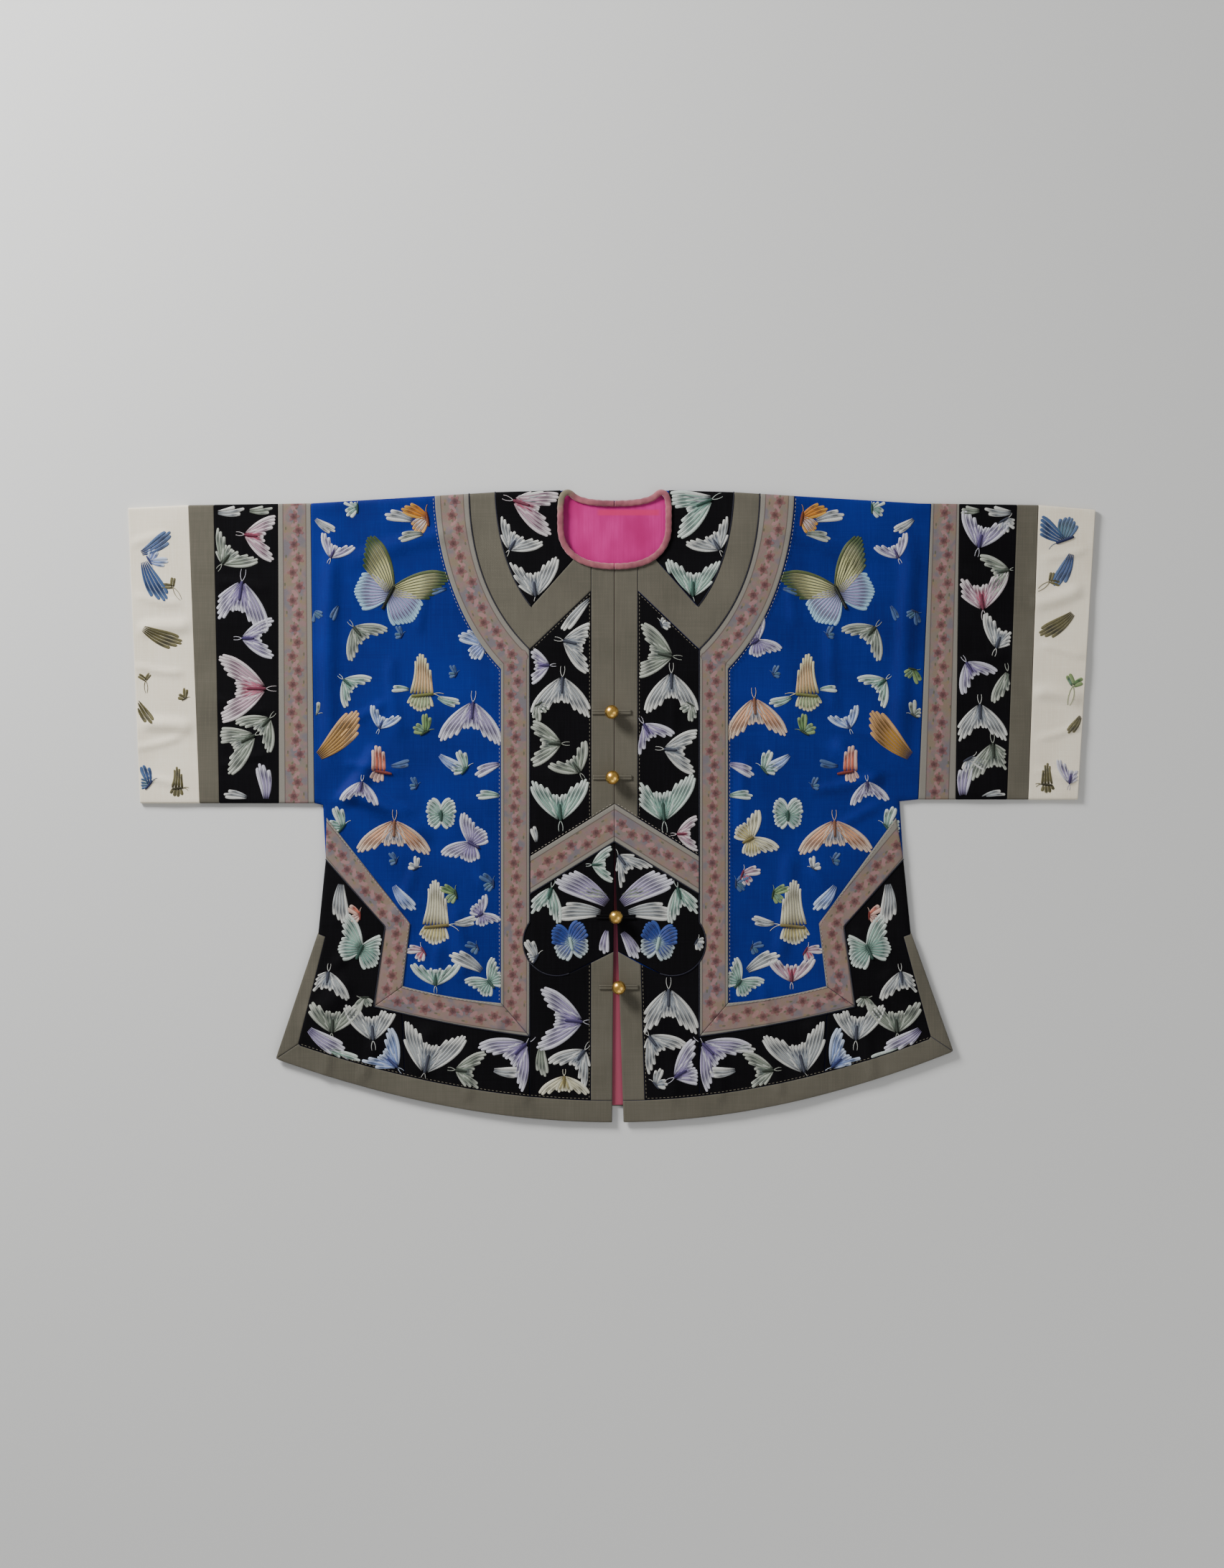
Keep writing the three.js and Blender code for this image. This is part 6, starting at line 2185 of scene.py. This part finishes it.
@dataclass(frozen=True)
class NeckBinding:
    """One half of the rolled binding round the neck."""

    side: Side
    half_width: float = 3.3
    half_height: float = 1.3
    sections: int = 150
    around: int = 16

    def route(self) -> Array:
        """Gives the middle line in (u, v, height), from the centre front over the shoulder to the back.

        Returns:
            One row for each point.
        """
        on_yoke = STRIP_LAYER[1] + SEAM_GAP + self.half_height
        on_back = LINING_LAYER[1] + SEAM_GAP + self.half_height
        top = TOP - SEAM_GAP - self.half_width
        front = neckline(SEAM_GAP, NECK_HALF)
        front = at_height(front, on_yoke)
        shoulder = np.array([
            (NECK_HALF, top - 14, on_yoke), (NECK_HALF - 2, top - 4, on_yoke - 0.3),
            (BACK_NECK_HALF - 2, top, on_yoke - 0.9),
        ])
        u = np.array([40.0, 28.0, 14.0, SEAM_GAP])
        back = np.column_stack([u, back_neck(u, self.half_width), np.full(4, on_back)])
        return self.rounded(np.vstack([front, shoulder, back]))

    def rounded(self, points: Array) -> Array:
        """Rounds a line's corners and spaces it evenly."""
        line = even(points, 1.5)
        for _ in range(3):
            line[1:-1] = (line[:-2] + 2 * line[1:-1] + line[2:]) / 4
        return even(line, run_length(line) / self.sections)

    def build(self) -> None:
        """Makes the binding with the slanting wrinkles of bias-cut silk."""
        line = self.route()
        across = upright(unit(np.gradient(line[:, :2], axis=0)))
        angle = round_angles(self.around)
        places = np.arange(len(line))
        slant = places[:, None] * 0.9 + angle[None, :] * 1.5
        wrinkle = 1 + 0.05 * np.sin(slant) * (np.sin(angle) > -0.2)[None, :]
        fade = np.minimum(1, np.minimum(places, places[::-1]) / 4)[:, None]
        wrinkle = 1 + (wrinkle - 1) * fade
        out = self.half_width * np.cos(angle)[None, :] * wrinkle
        plan = line[:, None, :2] + across[:, None, :] * out[:, :, None]
        z = line[:, None, 2] + self.half_height * np.sin(angle)[None, :] * wrinkle
        flat = plan.reshape(-1, 2)
        placed = np.column_stack([OPENING_X + self.side.sign * flat[:, 0], flat[:, 1]])
        lift = RELIEF.swell(placed) * (flat[:, 1] < 320)
        points = np.column_stack([placed, z.ravel() + lift])
        count, size = self.around, len(line)
        faces = []
        for s in range(size - 1):
            for k in range(count):
                a, b = s * count + k, s * count + (k + 1) % count
                faces.append([a, a + count, b + count, b])
        faces.append(list(range(count)))
        faces.append([(size - 1) * count + k for k in range(count)][::-1])
        if self.side.sign > 0:
            faces = [face[::-1] for face in faces]
        piece = add_cloth(f"neck_binding_{self.side.name}", points, faces, NECK_BINDING)
        length = run_length(line)


@dataclass(frozen=True)
class Closure:
    """One fastened closure: the cord on the left front, the loop from the right front, and the ball.

    Attributes:
        number: Its number from the collar.
        x: Its place across.
        y: Its place along.
        finish: The cord's silk.
        slot: The cord's material slot; not used.
    """

    number: int
    x: float
    y: float
    finish: SilkFinish
    slot: str
    cord_length: float = 21.0
    cord_half: float = 2.6
    cord_thick: float = 1.1
    radius: float = 7.5
    shank: float = 1.2
    shank_length: float = 1.9
    cord_height: float = STRIP_LAYER[1] + SEAM_GAP
    foot_height: float = STRIP_LAYER[1] + 2 * SEAM_GAP + 1.1
    eye: float = 3.1

    def strand(self, path: Array, name: str, node: str) -> None:
        """Makes a flat cord piece from one middle line."""
        book = MeshBook()
        book.tube(path, np.full(len(path), self.cord_half / 2 - 0.02), srgb(0, 0, 0), sides=12, flat=0.42)
        piece = add_piece(name, np.vstack(book.points), book.faces, self.finish)
        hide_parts(node)

    def build(self) -> None:
        """Makes the cord, the loop and the ball."""
        lift = float(RELIEF.swell(np.array([[self.x, self.y]]))[0])
        half = self.cord_half / 2
        bow = np.linspace(math.pi / 2, -math.pi / 2, 13)
        away = np.linspace(-self.cord_length, 0, 16)
        turn = np.column_stack([half * np.cos(bow), half * np.sin(bow)])[1:-1]
        flat_path = np.vstack([at_height(away, half), turn, at_height(away[::-1], -half)])
        z = np.full(len(flat_path), self.cord_height + self.cord_thick / 2 + lift)
        path = np.column_stack([flat_path + (self.x, self.y), z])
        self.strand(path, f"cord_{self.number}_silk", f"button_cord_{self.number}")
        eye = self.eye
        start = math.asin(half / eye)
        ring = np.linspace(start, 2 * math.pi - start, 30)
        out = np.linspace(self.cord_length, eye * math.cos(start), 15)
        circle = np.column_stack([eye * np.cos(ring), eye * np.sin(ring)])
        loop = np.vstack([at_height(out, half)[:-1], circle, at_height(out[::-1], -half)[1:]])
        slope = (self.foot_height - self.cord_height) / (self.cord_length - self.cord_half)
        foot = self.foot_height + SEAM_GAP + self.cord_thick / 2
        height = foot - slope * np.maximum(loop[:, 0], 0) + lift
        path = np.column_stack([loop + (self.x, self.y), height])
        self.strand(path, f"loop_{self.number}_silk", f"button_loop_{self.number}")
        self.ball(lift)

    def ball(self, lift: float) -> None:
        """Makes the ball on its shank, with a turned collar at its foot and a groove round its middle.

        Args:
            lift: The height of the cloth's relief below it.
        """
        around, steps = 48, 30
        start = math.asin(self.shank / self.radius)
        angle = start + (math.pi - start) * np.arange(steps) / steps
        groove = 1 - 0.012 * np.exp(-(((angle - math.pi / 2) / 0.05) ** 2))
        profile = [(0.0, 0.0), (self.shank, 0.0), (self.shank, self.shank_length * 0.5)]
        profile += [
            (self.radius * g * math.sin(a), self.shank_length + self.radius * (1 - math.cos(a) * g))
            for a, g in zip(angle, groove)
        ]
        crown = self.shank_length + 2 * self.radius
        points = [(0.0, 0.0, 0.0)]
        turns = round_angles(around)
        for r, z in profile[1:]:
            points += [(r * math.cos(t), r * math.sin(t), z) for t in turns]
        points.append((0.0, 0.0, crown))
        levels = len(profile) - 1
        faces = [[0, 1 + (k + 1) % around, 1 + k] for k in range(around)]
        for level in range(levels - 1):
            low, high = 1 + level * around, 1 + (level + 1) * around
            faces += [
                [low + k, low + (k + 1) % around, high + (k + 1) % around, high + k] for k in range(around)
            ]
        last = 1 + (levels - 1) * around
        faces += [[last + k, last + (k + 1) % around, len(points) - 1] for k in range(around)]
        placed = np.array(points) + (self.x, self.y, self.foot_height + lift)
        piece = add_piece(f"ball_{self.number}_gilt", placed, faces, GILT_BRASS)
        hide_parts(f"button_{self.number}")


@dataclass(frozen=True)
class Studio:
    """The camera above the jacket, the pale floor and the soft lights. Sizes are in metres."""

    lens: float = 85.0
    sensor: float = 36.0
    view_height: float = 1.6817
    aim: tuple[float, float, float] = (0.0003, 0.0227, 0.005)
    floor: float = 8.0
    floor_gap: float = 0.0004
    surround: float = 0.3

    def camera(self) -> None:
        """Places the camera straight above, as the jacket is shown."""
        data = bpy.data.cameras.new("camera")
        data.lens = self.lens
        data.sensor_width = self.sensor
        data.sensor_fit = "AUTO"
        camera = bpy.data.objects.new("camera", data)
        distance = self.lens / self.sensor * self.view_height
        camera.location = (self.aim[0], self.aim[1], self.aim[2] + distance)
        bpy.context.scene.collection.objects.link(camera)
        bpy.context.scene.camera = camera

    def ground(self) -> None:
        """Lays the floor just under the cloth."""
        half = self.floor / 2
        mesh = bpy.data.meshes.new("floor")
        mesh.from_pydata(
            [(-half, -half, 0), (half, -half, 0), (half, half, 0), (-half, half, 0)], [], [[0, 1, 2, 3]],
        )
        kit = NodeKit("floor_paper")
        mesh.materials.append(kit.finish(srgb(214, 214, 212), 0.85))
        floor = bpy.data.objects.new("floor", mesh)
        floor.location.z = -self.floor_gap
        bpy.context.scene.collection.objects.link(floor)

    def light(self, name: str, place: tuple[float, float, float], size: float, power: float) -> None:
        """Hangs a soft square light that faces the jacket.

        Args:
            name: Its name.
            place: Where it hangs.
            size: Its width.
            power: Its power in watts.
        """
        data = bpy.data.lights.new(name, "AREA")
        data.size = size
        data.energy = power
        lamp = bpy.data.objects.new(name, data)
        lamp.location = place
        lamp.rotation_euler = (Vector((0, 0, 0)) - Vector(place)).to_track_quat("-Z", "Y").to_euler()
        bpy.context.scene.collection.objects.link(lamp)

    def build(self) -> None:
        """Sets up the floor, the lights and the pale surroundings."""
        self.ground()
        self.light("key", (-1.7, 1.7, 1.2), 0.8, 112)
        self.light("fill", (1.9, -0.9, 2.0), 2.0, 16)
        self.light("low", (0.2, -2.2, 1.2), 1.6, 8)
        world = bpy.data.worlds.new("studio")
        world.use_nodes = True
        world.node_tree.nodes["Background"].inputs[0].default_value = (1.0, 1.0, 1.0, 1)
        world.node_tree.nodes["Background"].inputs[1].default_value = self.surround
        bpy.context.scene.world = world


@dataclass(frozen=True)
class Front:
    """One half of the front with its strips, sleeve bands, trims and embroidery."""

    side: Side
    tailor: Tailor = field(default_factory=Tailor)

    def ground(self) -> None:
        """Makes the blue front."""
        outline = self.side.plan(self.side.ground())
        points, faces, _ = self.tailor.shell(outline, GROUND_LAYER)
        piece = add_cloth(f"ground_{self.side.name}", points, faces, BLUE_SILK)

    def sleeve(self) -> None:
        """Makes the four bands of the sleeve."""
        side = self.side
        for name, start, end, finish, slot in (
            ("ribbon", side.ribbon, side.black, RIBBON_WEAVE, "floral_ribbon"),
            ("black", side.black, side.grey, BLACK_SATIN, "black_satin"),
            ("grey", side.grey, side.cuff, GREY_SILK, "grey_silk"),
            ("cuff", side.cuff, side.mouth, CREAM_SATIN, "cream_satin"),
        ):
            SleeveBand(name, side, start, end, finish, slot).build()

    def band_field(self, start: Point, end: Point) -> Array:
        """Gives the outline of a sleeve band's front on the plan.

        Args:
            start: The band's inner seam.
            end: Its outer seam.

        Returns:
            The outline.
        """
        side = self.side
        return side.plan(
            rows(
                (start[1] + 0.5, side.sleeve_seam + 2), (end[1] - 0.5, side.sleeve_seam + 2),
                (end[0] - 0.5, side.shoulder(end[0]) - 2), (start[0] + 0.5, side.shoulder(start[0]) - 2),
            )
        )

    def embroider(self, strips: dict[str, StripCut]) -> None:
        """Stitches the motifs of the blue ground, the black strips and the sleeve.

        Args:
            strips: The cuts of the front's strips.
        """
        side = self.side
        black = [side.plan(cut.outline) for cut in strips.values() if cut.kind is StripKind.BLACK]
        band = [self.band_field(side.black, side.grey)]
        cuff = [self.band_field(side.cuff, side.mouth)]
        for name, fields, base, motifs, slot in (
            ("butterflies_blue", [side.plan(side.ground())], GROUND_LAYER[1], ON_BLUE, "blue_silk"),
            ("butterflies_black", black, STRIP_LAYER[1], ON_BLACK, "black_satin"),
            ("butterflies_sleeve", band, GROUND_LAYER[1], ON_SLEEVE_BLACK, "black_satin"),
            ("sprigs_cuff", cuff, GROUND_LAYER[1], ON_CUFF, "cream_satin"),
        ):
            Embroidery(side, ClothMap(fields, base)).build(f"{name}_{side.name}", motifs, slot)

    def build(self) -> None:
        """Makes everything of this half."""
        self.ground()
        strips = self.side.strips()
        for name, cut in strips.items():
            self.tailor.strip(f"{name}_{self.side.name}", self.side, cut)
        self.sleeve()
        self.embroider(strips)
        Trims(self.side).build()
        NeckBinding(self.side).build()


CLOSURES = (
    Closure(1, 0.0, 99.7, GREY_SILK, "grey_silk"), Closure(2, 0.8, 29.6, GREY_SILK, "grey_silk"),
    Closure(3, 4.5, -119.7, BLACK_SATIN, "black_satin"), Closure(4, 7.6, -195.2, GREY_SILK, "grey_silk"),
)


def main() -> None:
    """Builds the studio and the jacket."""
    logging.basicConfig(level=logging.INFO, format="%(name)s: %(message)s")
    studio = Studio()
    studio.camera()
    studio.build()
    Back().build()
    for side in (LEFT, RIGHT):
        Front(side).build()
    for closure in CLOSURES:
        closure.build()
    log.info("done")


if __name__ == "__main__":
    main()
